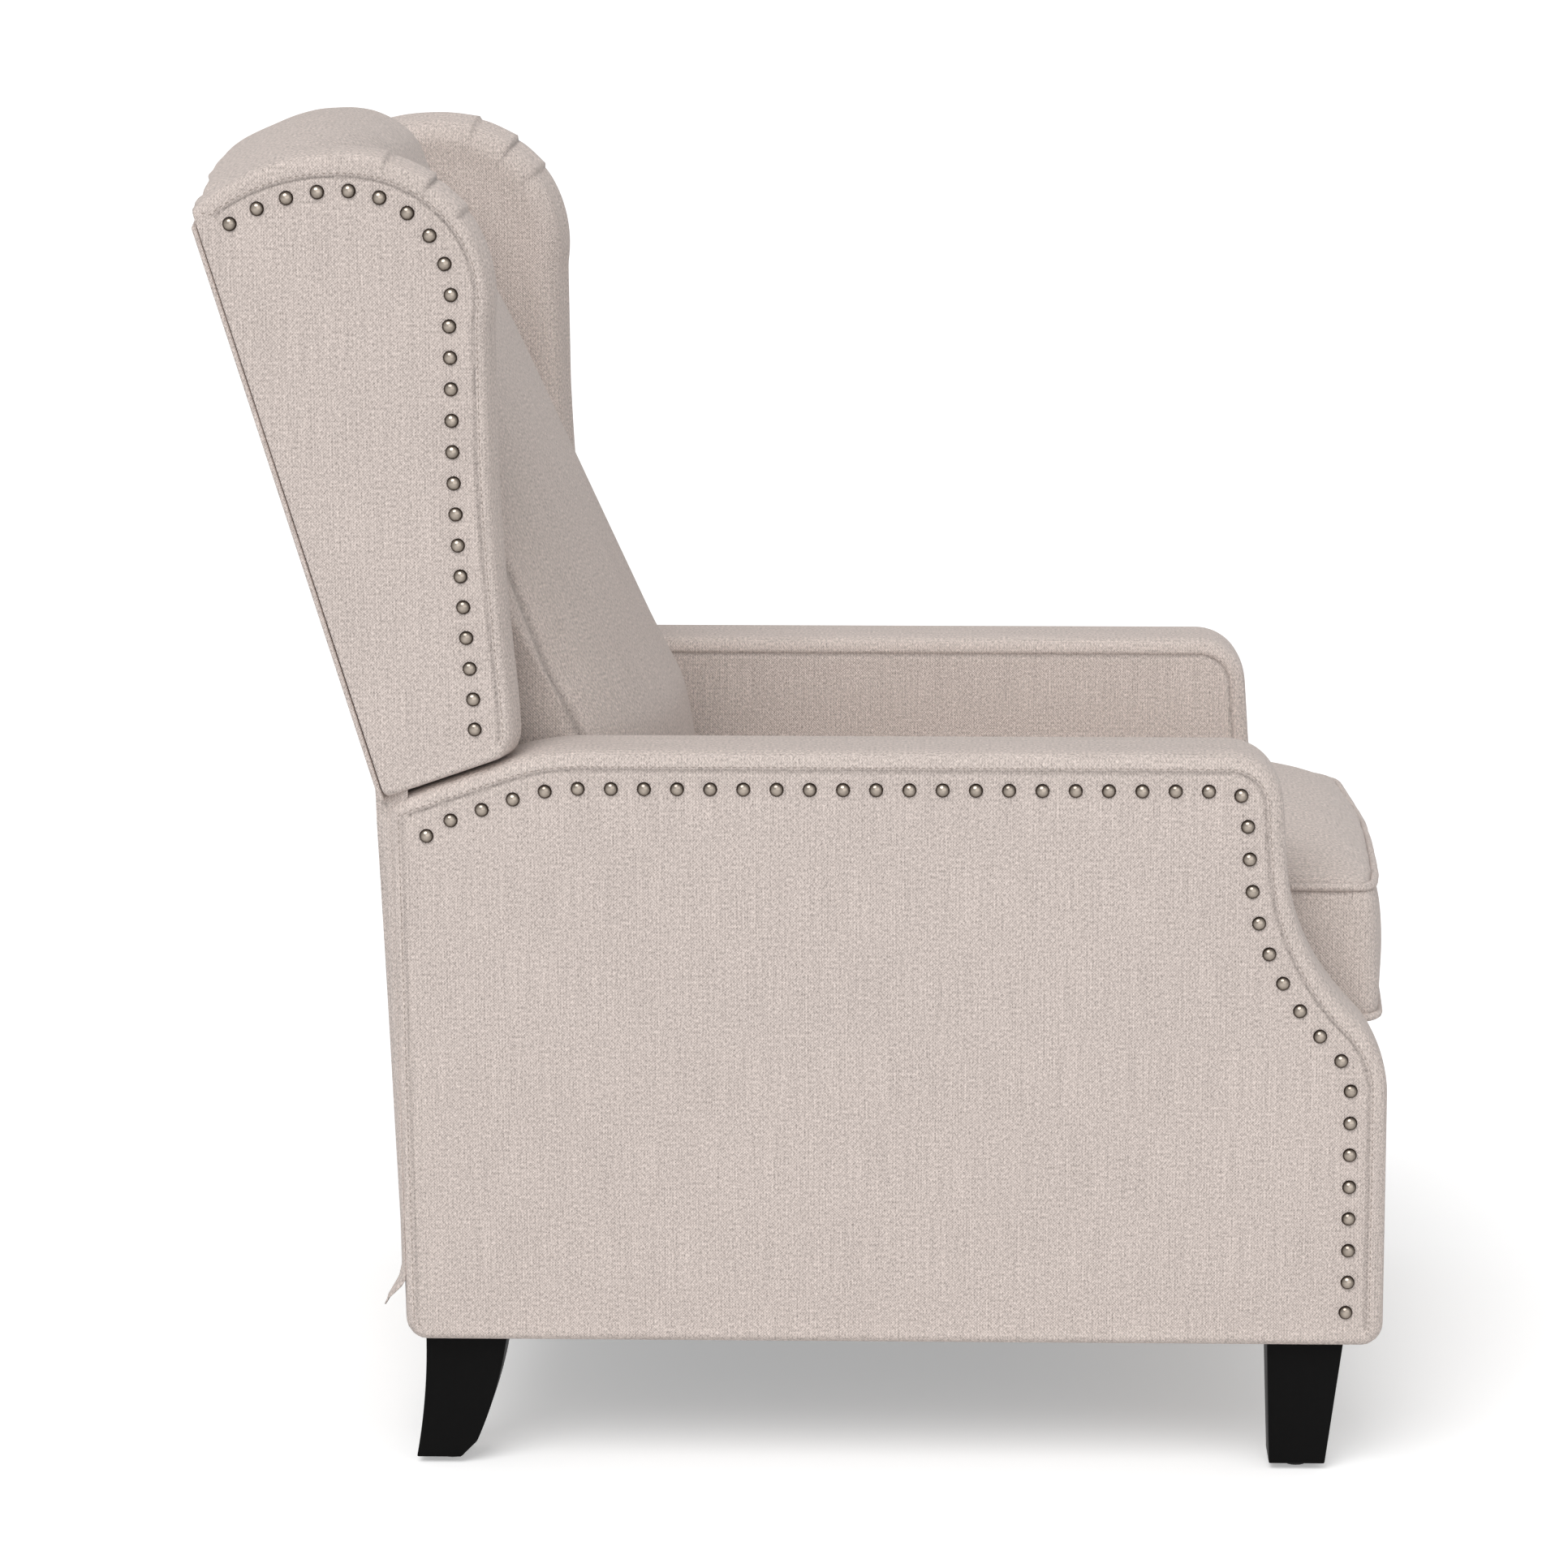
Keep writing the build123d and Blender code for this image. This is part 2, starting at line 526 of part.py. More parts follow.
def rear_flap():
    """Cloth that hangs from the back's lower edge behind the frame to a loose hem."""
    top = wing_foot()[1] + FLAP_OVERLAP
    start = (back_line(top) + SEAT_GAP, top)
    rest, lap = ((arm_rear_line(BASE_BOTTOM + rise) + 2 * SEAT_GAP, BASE_BOTTOM + rise)
                 for rise in (FLAP_REST_RISE, FLAP_LAP_RISE))
    hem = (lap[0] + FLAP_FLARE, BASE_BOTTOM + FLAP_HEM_HEIGHT)
    front = [start, rest, lap, hem]
    rear = [(y + FLAP_THICKNESS, z) for y, z in reversed(front)]
    return from_side(polygon(front + rear), FLAP_SIDE_INSET - ARM_OUTER, ARM_OUTER - FLAP_SIDE_INSET)


def arm_rear_line(z):
    """Y of the arms' straight rear edge at height z."""
    top_y = BASE_REAR + ARM_REAR_LEAN
    return BASE_REAR + ARM_REAR_LEAN * (z - BASE_BOTTOM) / (arm_slope_line(top_y) - BASE_BOTTOM)


# ================================================================ wings
def wing_bottom_line(y):
    return arm_slope_line(y) + WING_GAP


def wing_foot():
    """Where the wing's lower edge meets the outside of the back."""
    y = BASE_REAR + BACK_FOOT[0]
    for _ in range(12):
        y = back_line(wing_bottom_line(y))
    return y, wing_bottom_line(y)


def wing_outline(depth=0.0):
    """Side view of a wing, its rear edge a depth in front of the outside of the back."""
    foot_y = wing_foot()[0]
    rear_foot = (foot_y - depth, wing_bottom_line(foot_y - depth))
    corner_z = ARM_TOP + WING_TOP_SIDE
    rear_top = (back_line(corner_z, depth), corner_z)
    front_foot = (WING_FOOT_Y, wing_bottom_line(WING_FOOT_Y))
    top_mid, peak, shoulder_mid, shoulder_end, straight, front_mid, front_low = (
        above_arm(place) for place in (WING_TOP_MID, WING_PEAK, WING_SHOULDER_MID, WING_SHOULDER_END,
                                       WING_FRONT_STRAIGHT, WING_FRONT_MID, WING_FRONT_LOW))
    edges = [ThreePointArc(rear_top, top_mid, peak), ThreePointArc(peak, shoulder_mid, shoulder_end),
             Line(shoulder_end, straight), ThreePointArc(straight, front_mid, front_low),
             Line(front_low, front_foot), Line(front_foot, rear_foot), Line(rear_foot, rear_top)]
    return round_corners(make_face(edges), [(front_foot, WING_FOOT_RADIUS)])


def wing_cover():
    depth = PANEL_THICKNESS + SEAT_GAP
    outline = wing_outline(depth)
    body = from_side(outline, WING_INNER, ARM_OUTER)

    def padded(edge):
        middle = edge.center()
        in_front = middle.Y < back_line(middle.Z, depth) - SEAT_GAP
        return in_front and middle.Z > wing_bottom_line(middle.Y) + SEAT_GAP

    body = bevelled(body, -1, padded, WING_OUTER_BEVELS)
    body = bevelled(body, 0, padded, WING_INNER_BEVELS)
    low, high = wing_foot()[1] + WING_PAD_RISE, ARM_TOP + POST_TOP
    behind = depth + POST_THICKNESS
    rear_pad = polygon([(back_line(low, depth), low), (back_line(high, depth), high),
                        (back_line(high, behind), high), (back_line(low, behind), low)])
    body += from_side(rear_pad, POST_OUTER + SEAT_GAP, WING_INNER)
    cavity = from_side(offset(wing_outline(depth), -WING_MARGIN), wing_board_span()[0] - SEAT_GAP,
                       wing_board_span()[1] + SEAT_GAP)
    return body - cavity


def wing_board_span():
    outer = ARM_OUTER - OUTER_PADDING
    return outer - WING_BOARD, outer


def wing_board():
    outline = offset(wing_outline(PANEL_THICKNESS + SEAT_GAP), -WING_MARGIN - SEAT_GAP)
    return from_side(outline, *wing_board_span())


# ================================================================ back frame
def back_slab(near, far, low, high, x_low, x_high):
    """A slab that leans with the back, between two depths and two heights."""
    outline = polygon([(back_line(low, near), low), (back_line(high, near), high),
                       (back_line(high, far), high), (back_line(low, far), low)])
    return from_side(outline, x_low, x_high)


def front_arch(half_width, low, side, rise):
    """A block across the chair's depth whose top is an arch: for trimming what leans with the back."""
    top = ThreePointArc((half_width, side), (0, side + rise), (-half_width, side))
    outline = make_face([Line((-half_width, side), (-half_width, low)),
                         Line((-half_width, low), (half_width, low)),
                         Line((half_width, low), (half_width, side)), top])
    return extrude(Plane.XZ.offset(-BEYOND) * outline, BEYOND, dir=(0, -1, 0))


def outside_back_panel():
    half = ARM_OUTER - RUNNING_GAP
    low, side = wing_foot()[1], ARM_TOP + WING_TOP_SIDE - RUNNING_GAP
    slab = back_slab(0, PANEL_THICKNESS, low, side + 2 * PANEL_TOP_RISE, -half, half)
    return slab & front_arch(half, low, side, PANEL_TOP_RISE)


def frame_depths():
    near = PANEL_THICKNESS + SEAT_GAP
    return near, near + POST_THICKNESS


def back_post():
    return back_slab(*frame_depths(), POST_FOOT, ARM_TOP + POST_TOP, POST_OUTER - POST_WIDTH, POST_OUTER)


def back_top_rail():
    low = ARM_TOP + POST_TOP + SEAT_GAP
    rail = back_slab(*frame_depths(), low, low + TOP_RAIL_SIDE + TOP_RAIL_ARCH, -POST_OUTER, POST_OUTER)
    return rail & front_arch(POST_OUTER, low, low + TOP_RAIL_SIDE, TOP_RAIL_ARCH)


def back_lower_rail():
    span = POST_OUTER - POST_WIDTH - SEAT_GAP
    return back_slab(*frame_depths(), POST_FOOT, POST_FOOT + LOWER_RAIL_HEIGHT, -span, span)


def back_webbing():
    near = frame_depths()[1] + SEAT_GAP
    pitch = (ARM_TOP + POST_TOP - POST_FOOT - STRAP_FIRST) / STRAP_COUNT
    heights = [POST_FOOT + STRAP_FIRST + pitch * index for index in range(STRAP_COUNT)]
    far = near + STRAP_THICKNESS
    return [back_slab(near, far, z, z + STRAP_WIDTH, -POST_OUTER, POST_OUTER) for z in heights]


# ================================================================ back cushion
def cushion_rear_depth():
    return frame_depths()[1] + STRAP_THICKNESS + 2 * SEAT_GAP


def arc_points(start, middle, end, steps):
    """Points (first, second) at equal steps along an arc, from its start to just before its end."""
    arc = ThreePointArc(start, middle, end)
    places = [arc.position_at(step / steps) for step in range(steps)]
    return [(place.X, place.Y) for place in places]


def cushion_section(share, half_width):
    """The cushion's side view at a share of its half width, as a ring: domed in front, arched on top."""
    draw = CUSHION_CROWN * abs(share) ** CUSHION_CROWN_POWER
    arch = CUSHION_ARCH * share ** 2
    fall = CUSHION_TOP_FALL * share ** 2
    depth = cushion_rear_depth()
    shell = PANEL_THICKNESS + SEAT_GAP
    foot = (back_line(CUSHION_FOOT, depth), CUSHION_FOOT)
    step = ARM_TOP + CUSHION_STEP - arch
    crest = ARM_TOP + WING_TOP_SIDE + PANEL_TOP_RISE - arch
    inner = (back_line(step, depth), step)
    outer = (back_line(step, shell), step)
    rear = (back_line(crest, shell), crest)
    peak = above_arm((CUSHION_PEAK[0], CUSHION_PEAK[1] - fall))
    rear_mid = above_arm((CUSHION_PEAK_REAR[0], CUSHION_PEAK_REAR[1] - (arch + fall) / 2))
    front_mid = above_arm((CUSHION_PEAK_FRONT[0] + draw / 4, CUSHION_PEAK_FRONT[1] - fall))
    brow = above_arm((CUSHION_BROW[0] + draw / 2, CUSHION_BROW[1] - fall))
    lumbar = above_arm((CUSHION_LUMBAR[0] + draw, CUSHION_LUMBAR[1]))
    seat_mid = (CUSHION_SEAT_MID[0] + draw, CUSHION_SEAT_MID[1])
    seat_low = (CUSHION_SEAT_LOW[0] + draw, CUSHION_SEAT_LOW[1])
    steps = CUSHION_ARC_STEPS
    ring = [foot, inner, outer,
            *arc_points(rear, rear_mid, peak, steps), *arc_points(peak, front_mid, brow, steps),
            brow, *arc_points(lumbar, seat_mid, seat_low, steps), seat_low]
    return [Vector(share * half_width, y, z) for y, z in ring]


def back_cushion():
    half = WING_INNER - CUSHION_SIDE_GAP
    shares = [2 * index / (CUSHION_STATIONS - 1) - 1 for index in range(CUSHION_STATIONS)]
    body = skin([cushion_section(share, half) for share in shares])
    notch = box((ARM_INNER - CUSHION_ARM_GAP, BEYOND), (-BEYOND, BEYOND), (0, ARM_TOP + CUSHION_NOTCH))
    return body - notch - mirrored(notch)


# ================================================================ back hinge
def bracket_span():
    low = POST_OUTER + SEAT_GAP
    return low, low + BRACKET_THICKNESS


def plate_span():
    high = ARM_INNER - SEAT_GAP
    return high - PIVOT_PLATE_THICKNESS, high


def back_hinge_bracket():
    top_z = HINGE[1] + BRACKET_HEIGHT
    top = (back_line(top_z, frame_depths()[0] + POST_THICKNESS / 2), top_z)
    plate = hull_plate([HINGE, top], BRACKET_RADIUS, *bracket_span())
    return plate - disc(HINGE, HINGE_PIN_RADIUS + PIN_CLEARANCE, 0, ARM_OUTER)


def back_pivot_plate():
    low = (HINGE[0], HINGE[1] - BRACKET_HEIGHT * 0.6)
    high = (HINGE[0], HINGE[1] + BRACKET_HEIGHT * 0.4)
    plate = hull_plate([low, high], BRACKET_RADIUS, *plate_span())
    return plate - disc(HINGE, HINGE_PIN_RADIUS + PIN_CLEARANCE, 0, ARM_OUTER)


def back_pivot_pins():
    seat = bracket_span()[0] - RUNNING_GAP
    head = prism(HINGE, HINGE_HEAD_RADIUS, HINGE_HEAD_SIDES, seat - HINGE_HEAD, seat)
    pin = head + disc(HINGE, HINGE_PIN_RADIUS, seat, plate_span()[1])
    return [pin, mirrored(pin)]


# ================================================================ seat
def seat_side_rail():
    limits = (BASE_FRONT + SEAT_RAIL_SETBACK, BASE_REAR - SEAT_REAR_SETBACK)
    span = (RAIL_INNER, RAIL_INNER + SEAT_RAIL_THICKNESS)
    return box(span, limits, (RAIL_BOTTOM, RAIL_BOTTOM + SEAT_RAIL_HEIGHT))


def front_rail_y():
    """Front face of the seat's front rail: just behind the footrest bracket's folded end."""
    return -(FREE_BRACKET_PIN[0] - STAY_ROOM * LINK_RADIUS)


def seat_front_rail():
    span = side_plate_span()[0] - SEAT_GAP
    return box((-span, span), (front_rail_y(), front_rail_y() + SEAT_CROSS_RAIL),
               (RAIL_BOTTOM, RAIL_BOTTOM + SEAT_RAIL_HEIGHT))


def seat_rear_rail():
    span = RAIL_INNER - SEAT_GAP
    rear = BASE_REAR - SEAT_REAR_SETBACK
    return box((-span, span), (rear - SEAT_CROSS_RAIL, rear), (RAIL_BOTTOM, RAIL_BOTTOM + SEAT_RAIL_HEIGHT))


def seat_springs():
    """Zigzag springs laid over the front and rear rails."""
    front = front_rail_y() + SPRING_WIRE
    rear = BASE_REAR - SEAT_REAR_SETBACK - SPRING_WIRE
    turns = 2 * SPRING_WAVES
    low = RAIL_BOTTOM + SEAT_RAIL_HEIGHT + SEAT_GAP
    sides = [0, *[SPRING_AMPLITUDE * (-1) ** turn for turn in range(turns - 1)], 0]
    path = [(x, front + (rear - front) * turn / turns) for turn, x in enumerate(sides)]
    slant = math.atan(2 * SPRING_AMPLITUDE * turns / (rear - front))
    half = SPRING_WIRE / (2 * math.cos(slant))
    outline = polygon([(x - half, y) for x, y in path] + [(x + half, y) for x, y in reversed(path)])
    spring = extrude(Plane.XY.offset(low) * outline, SPRING_WIRE, dir=(0, 0, 1))
    middle = (SPRING_COUNT - 1) / 2
    return [Pos((index - middle) * SPRING_PITCH) * spring for index in range(SPRING_COUNT)]


def seat_cushion():
    front, rear = BASE_FRONT + SEAT_CUSHION_SETBACK, BASE_REAR - SEAT_CUSHION_REAR
    length = rear - front
    seam = SEAT_BOTTOM + SEAT_CUSHION_HEIGHT
    rings = []
    for share, swell in SEAT_CUSHION_SWELL:
        half = SEAT_HALF - SEAT_CUSHION_DRAW * (1 - (2 * share - 1) ** 2)
        arc = arc_points((half, seam), (0, seam + SEAT_CUSHION_CROWN * swell), (-half, seam), SEAT_ARC_STEPS)
        ring = [(-half, SEAT_BOTTOM), (half, SEAT_BOTTOM), *arc, (-half, seam)]
        rings.append([Vector(x, front + share * length, z) for x, z in ring])
    corners = RectangleRounded(2 * SEAT_HALF, length, WELT_CORNER - WELT_RADIUS)
    return skin(rings) & extrude(Pos(0, (front + rear) / 2) * corners, BEYOND, dir=(0, 0, 1))


def welt_ring(z):
    """A piping cord round the cushion's sides at one height."""
    x = SEAT_HALF + WELT_RADIUS + SEAT_GAP / 2
    front = BASE_FRONT + SEAT_CUSHION_SETBACK - WELT_RADIUS - SEAT_GAP / 2
    rear = BASE_REAR - SEAT_CUSHION_REAR + WELT_RADIUS + SEAT_GAP / 2
    outline = RectangleRounded(2 * x, rear - front, WELT_CORNER)
    path = (Pos(0, (front + rear) / 2, z) * outline).face().outer_wire()
    start = path.position_at(0)
    plane = Plane(origin=start, z_dir=path.tangent_at(0))
    return sweep(plane * RegularPolygon(WELT_RADIUS, WELT_SIDES), path=path)


def seat_welting():
    return [welt_ring(SEAT_BOTTOM + SEAT_CUSHION_HEIGHT - 2), welt_ring(SEAT_BOTTOM + WELT_RADIUS + 3)]


# ================================================================ slide
ROLLER_PLACES = (BASE_FRONT + FRONT_ROLLER_SETBACK, BASE_REAR - REAR_ROLLER_SETBACK)


def slide_point(y):
    """A place on the rollers' line of travel (Y, Z), which passes the rails' middle at the front roller."""
    rise = math.tan(math.radians(SLIDE_ANGLE)) * (ROLLER_PLACES[0] - y)
    return y, RAIL_BOTTOM + SEAT_RAIL_HEIGHT / 2 + rise


def seat_rollers():
    left = []
    for y in ROLLER_PLACES:
        centre = slide_point(y)
        roller_low = ARM_INNER - SEAT_GAP - TRACK_WALL - RUNNING_GAP - ROLLER_WIDTH
        roller = prism(centre, ROLLER_RADIUS, ROLLER_SIDES, roller_low, roller_low + ROLLER_WIDTH)
        stud = prism(centre, STUD_RADIUS, STUD_SIDES, RAIL_INNER + SEAT_RAIL_THICKNESS + SEAT_GAP, roller_low)
        left.append(roller + stud)
    return left + [mirrored(roller) for roller in left]


def slide_track():
    outer = ARM_INNER - SEAT_GAP
    half_inside = ROLLER_RADIUS + TRACK_CLEARANCE
    centre = slide_point((ROLLER_PLACES[0] + ROLLER_PLACES[1] - SLIDE_TRAVEL) / 2)
    length = ROLLER_PLACES[1] - ROLLER_PLACES[0] + SLIDE_TRAVEL + 2 * TRACK_END
    bar = Box(TRACK_DEPTH, length, 2 * (half_inside + TRACK_WALL))
    slot = Pos(-TRACK_WALL, 0, 0) * Box(TRACK_DEPTH, BEYOND, 2 * half_inside)
    return Pos(outer - TRACK_DEPTH / 2, *centre) * Rot(-SLIDE_ANGLE, 0, 0) * (bar - slot)


# ================================================================ footrest linkage
def polar(point, distance, angle):
    """A point at a distance and angle (0 forwards, 90 up) in (reach, height)."""
    turn = math.radians(angle)
    return point[0] + distance * math.cos(turn), point[1] + distance * math.sin(turn)


def along(point, angle, place):
    """A place (along, across) measured from a point on a bar at an angle."""
    forward = polar(point, place[0], angle)
    return polar(forward, place[1], angle + 90)


def side(point):
    """(reach, height) as (Y, Z)."""
    return -point[0], point[1]


LINK_PIVOT = (FRONT_REACH - LINK_SETBACK, RAIL_BOTTOM - LINK_DROP)
STAY_PIVOT = (LINK_PIVOT[0] + STAY_PLACE[0], LINK_PIVOT[1] + STAY_PLACE[1])
KNEE = polar(LINK_PIVOT, LINK_LENGTH, LOWER_LINK_ANGLE)
FOOTREST_PIVOT = polar(KNEE, LINK_LENGTH, UPPER_LINK_ANGLE)
UPPER_TAIL_PIN = along(KNEE, UPPER_LINK_ANGLE, UPPER_TAIL)
LOWER_TAIL_PIN = along(LINK_PIVOT, LOWER_LINK_ANGLE, LOWER_TAIL)
FREE_BRACKET_PIN = (FOOTREST_PIVOT[0] + BRACKET_PIN[0], FOOTREST_PIVOT[1] + BRACKET_PIN[1])


def layer_span(layer):
    """X limits of a plate of the linkage: layer 0 is nearest to the arm, 5 nearest to the middle."""
    high = RAIL_INNER - SEAT_GAP - (layer - 1) * LAYER
    return high - LINK_PLATE, high


def side_plate_span():
    return layer_span(1)


def pin_between(point, outer_layer, inner_layer):
    """A rivet from the outer face of one layer to the inner face of another."""
    inner, outer = layer_span(inner_layer)[0], layer_span(outer_layer)[1]
    return prism(side(point), LINK_PIN_RADIUS, LINK_PIN_SIDES, inner, outer)


def hole(point, layer, clearance=PIN_CLEARANCE):
    low, high = layer_span(layer)
    return disc(side(point), LINK_PIN_RADIUS + clearance, low - 1, high + 1)


def footrest_side_plate():
    """Steel plate on the seat's side rail that carries the lower link and the lower stay."""
    tail = LINK_PIVOT[0] - SIDE_PLATE_TAIL
    corners = [LINK_PIVOT, STAY_PIVOT, (LINK_PIVOT[0], RAIL_BOTTOM + SIDE_PLATE_RISE),
               (tail, RAIL_BOTTOM + SIDE_PLATE_RISE), (tail, RAIL_BOTTOM + SIDE_PLATE_STEP)]
    plate = hull_plate([side(corner) for corner in corners], LINK_RADIUS, *layer_span(1))
    return plate + pin_between(LINK_PIVOT, 1, 2) + pin_between(STAY_PIVOT, 0, 1)


def lower_link():
    corners = [side(point) for point in (LINK_PIVOT, KNEE, LOWER_TAIL_PIN)]
    plate = hull_plate(corners, LINK_RADIUS, *layer_span(2))
    plate -= hole(LINK_PIVOT, 2)
    return plate + pin_between(KNEE, 2, 3) + pin_between(LOWER_TAIL_PIN, 2, 4)


def upper_link():
    corners = [side(point) for point in (KNEE, FOOTREST_PIVOT, UPPER_TAIL_PIN)]
    plate = hull_plate(corners, LINK_RADIUS, *layer_span(3))
    plate -= hole(KNEE, 3)
    return plate + pin_between(FOOTREST_PIVOT, 3, 5) + pin_between(UPPER_TAIL_PIN, 0, 3)


def lower_stay():
    plate = hull_plate([side(STAY_PIVOT), side(UPPER_TAIL_PIN)], LINK_RADIUS, *layer_span(0))
    return plate - hole(STAY_PIVOT, 0) - hole(UPPER_TAIL_PIN, 0, FREE_PIN_CLEARANCE)


def upper_stay():
    plate = hull_plate([side(LOWER_TAIL_PIN), side(FREE_BRACKET_PIN)], LINK_RADIUS, *layer_span(4))
    return plate - hole(LOWER_TAIL_PIN, 4) - hole(FREE_BRACKET_PIN, 4, FREE_PIN_CLEARANCE)


def footrest_bracket():
    """Angle that is screwed to the back of the footrest board and carries its pivots."""
    board_back = FRONT_REACH - BOARD_SETBACK - SEAT_GAP
    low, high = layer_span(5)
    web = hull_plate([side(FOOTREST_PIVOT), side(FREE_BRACKET_PIN)], LINK_RADIUS, low, high)
    reach, height = FOOTREST_PIVOT
    foot = polygon([side((reach, height + LINK_RADIUS)), side((board_back, height + FLANGE_RISE)),
                    side((board_back, height - FLANGE_DROP)), side((reach, height - LINK_RADIUS))])
    web += from_side(foot, low, high)
    flange = box((low - FLANGE_WIDTH, low), (-board_back, -board_back + LINK_PLATE),
                 (height - FLANGE_DROP, height + FLANGE_RISE))
    body = web + flange
    body -= disc(side(FOOTREST_PIVOT), LINK_PIN_RADIUS + PIN_CLEARANCE, low - 1, high + 1)
    return body + pin_between(FREE_BRACKET_PIN, 4, 5)


def footrest_board():
    half = ARM_INNER - BOARD_INSET
    rear = FRONT_REACH - BOARD_SETBACK
    return box((-half, half), (-rear - BOARD_THICKNESS, -rear), (BOARD_BOTTOM, BOARD_TOP))


def footrest_pad():
    half = ARM_INNER - PAD_GAP
    back = FRONT_REACH - BOARD_SETBACK + BOARD_THICKNESS + SEAT_GAP
    low, high = BOARD_BOTTOM - PAD_MARGIN, BOARD_TOP + PAD_MARGIN
    sections = []
    for share, crown, edge in PAD_STATIONS:
        front = back + PAD_THICKNESS - PAD_EDGE * (1 - edge)
        low_back, high_back, low_edge, high_edge, low_front, high_front = (side(place) for place in (
            (back, low), (back, high), (front - PAD_EDGE, low), (front - PAD_EDGE, high),
            (front, low + PAD_EDGE), (front, high - PAD_EDGE)))
        swell = ThreePointArc(low_front, side((front + PAD_CROWN * crown, (low + high) / 2)), high_front)
        outline = make_face([Line(low_back, low_edge), Line(low_edge, low_front), swell,
                             Line(high_front, high_edge), Line(high_edge, high_back),
                             Line(high_back, low_back)])
        sections.append(Plane.YZ.offset(share * half) * outline)
    return loft(sections, ruled=True)


# ================================================================ writing
def build():
    """Every node: its name and its solids."""
    arm = arm_outline()
    wing = wing_outline()
    arm_nails = nails_along(arm, (BASE_REAR - ARM_NAIL_REAR[0], ARM_TOP - ARM_NAIL_REAR[1]),
                            (BASE_FRONT + NAIL_INSET, BASE_BOTTOM + ARM_NAIL_FOOT), ARM_NAIL_COUNT)
    wing_top = ARM_TOP + WING_TOP_SIDE - WING_NAIL_REAR[1]
    wing_foot_nail = (WING_FOOT_Y + WING_NAIL_FOOT[0], ARM_TOP + WING_FRONT_LOW[1] - WING_NAIL_FOOT[1])
    wing_nails = nails_along(wing, (back_line(wing_top, WING_NAIL_REAR[0]), wing_top), wing_foot_nail,
                             WING_NAIL_COUNT)
    pairs = {
        "arm_cover": [arm_cover(arm)], "arm_panel": [arm_panel(arm)], "arm_rails": arm_rails(),
        "arm_posts": arm_posts(), "arm_nails": arm_nails,
        "front_leg": [front_leg()], "rear_leg": [rear_leg()],
        "slide_track": [slide_track()], "back_pivot_plate": [back_pivot_plate()],
        "seat_side_rail": [seat_side_rail()], "footrest_side_plate": [footrest_side_plate()],
        "back_post": [back_post()], "wing_cover": [wing_cover()], "wing_board": [wing_board()],
        "wing_nails": wing_nails, "back_hinge_bracket": [back_hinge_bracket()]}
    both_sides = {
        "lower_links": lower_link(), "upper_links": upper_link(), "lower_stays": lower_stay(),
        "upper_stays": upper_stay(), "footrest_brackets": footrest_bracket()}
    nodes = {
        "leg_glides": leg_glides(), "leg_bolts": leg_bolts(),
        "front_cross_rail": [cross_rail(BASE_FRONT + FRONT_CROSS_SETBACK)],
        "rear_cross_rail": [cross_rail(BASE_REAR - REAR_CROSS_SETBACK)], "corner_blocks": corner_blocks(),
        "dust_cover": [dust_cover()], "rear_flap": [rear_flap()], "back_pivot_pins": back_pivot_pins(),
        "seat_front_rail": [seat_front_rail()], "seat_rear_rail": [seat_rear_rail()],
        "seat_springs": seat_springs(), "seat_cushion": [seat_cushion()], "seat_welting": seat_welting(),
        "seat_rollers": seat_rollers(),
        "back_top_rail": [back_top_rail()], "back_lower_rail": [back_lower_rail()],
        "back_webbing": back_webbing(), "back_cushion": [back_cushion()],
        "outside_back_panel": [outside_back_panel()], "footrest_board": [footrest_board()],
        "footrest_pad": [footrest_pad()]}
    for name, solids in pairs.items():
        nodes[name + "_left"] = solids
        nodes[name + "_right"] = [mirrored(solid) for solid in solids]
    for name, solid in both_sides.items():
        nodes[name] = [solid, mirrored(solid)]
    return nodes


def main():
    os.makedirs("parts", exist_ok=True)
    nodes = build()
    shapes = {name: Compound(children=[piece for solid in solids for piece in solid.solids()])
              for name, solids in nodes.items()}
    boxes = [shape.bounding_box() for shape in shapes.values()]
    front, rear = min(b.min.Y for b in boxes), max(b.max.Y for b in boxes)
    shift = -(front + rear) / 2
    for name, shape in shapes.items():
        export_step(Pos(0, shift, 0) * shape, f"parts/{name}.step")
    height = max(b.max.Z for b in boxes)
    width = max(b.max.X for b in boxes) - min(b.min.X for b in boxes)
    print(f"nodes {len(shapes)}  width {width:.1f}  depth {rear - front:.1f}  height {height:.1f}")
    print(f"shift {shift:.3f}")
    joints = {"back_recline": HINGE, "lower_link_swing": side(LINK_PIVOT), "upper_link_swing": side(KNEE),
              "footrest_tilt": side(FOOTREST_PIVOT), "lower_stay_swing": side(STAY_PIVOT),
              "upper_stay_swing": side(LOWER_TAIL_PIN)}
    for name, point in joints.items():
        print(f"{name:18s} pos_m [0, {(point[0] + shift) / 1000:.6f}, {point[1] / 1000:.6f}]")


main()
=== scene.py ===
"""A wingback recliner in beige linen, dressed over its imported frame.

Lengths are in metres, in the row frame: the chair faces -Y, +Z is up and the sitter's right is -X.
"""

from __future__ import annotations

import json
import logging
import math
from dataclasses import dataclass, replace
from enum import Enum
from typing import Callable, Sequence

import bmesh
import bpy
import numpy as np
from mathutils import Matrix, Vector
from mathutils.bvhtree import BVHTree
from mathutils.geometry import delaunay_2d_cdt

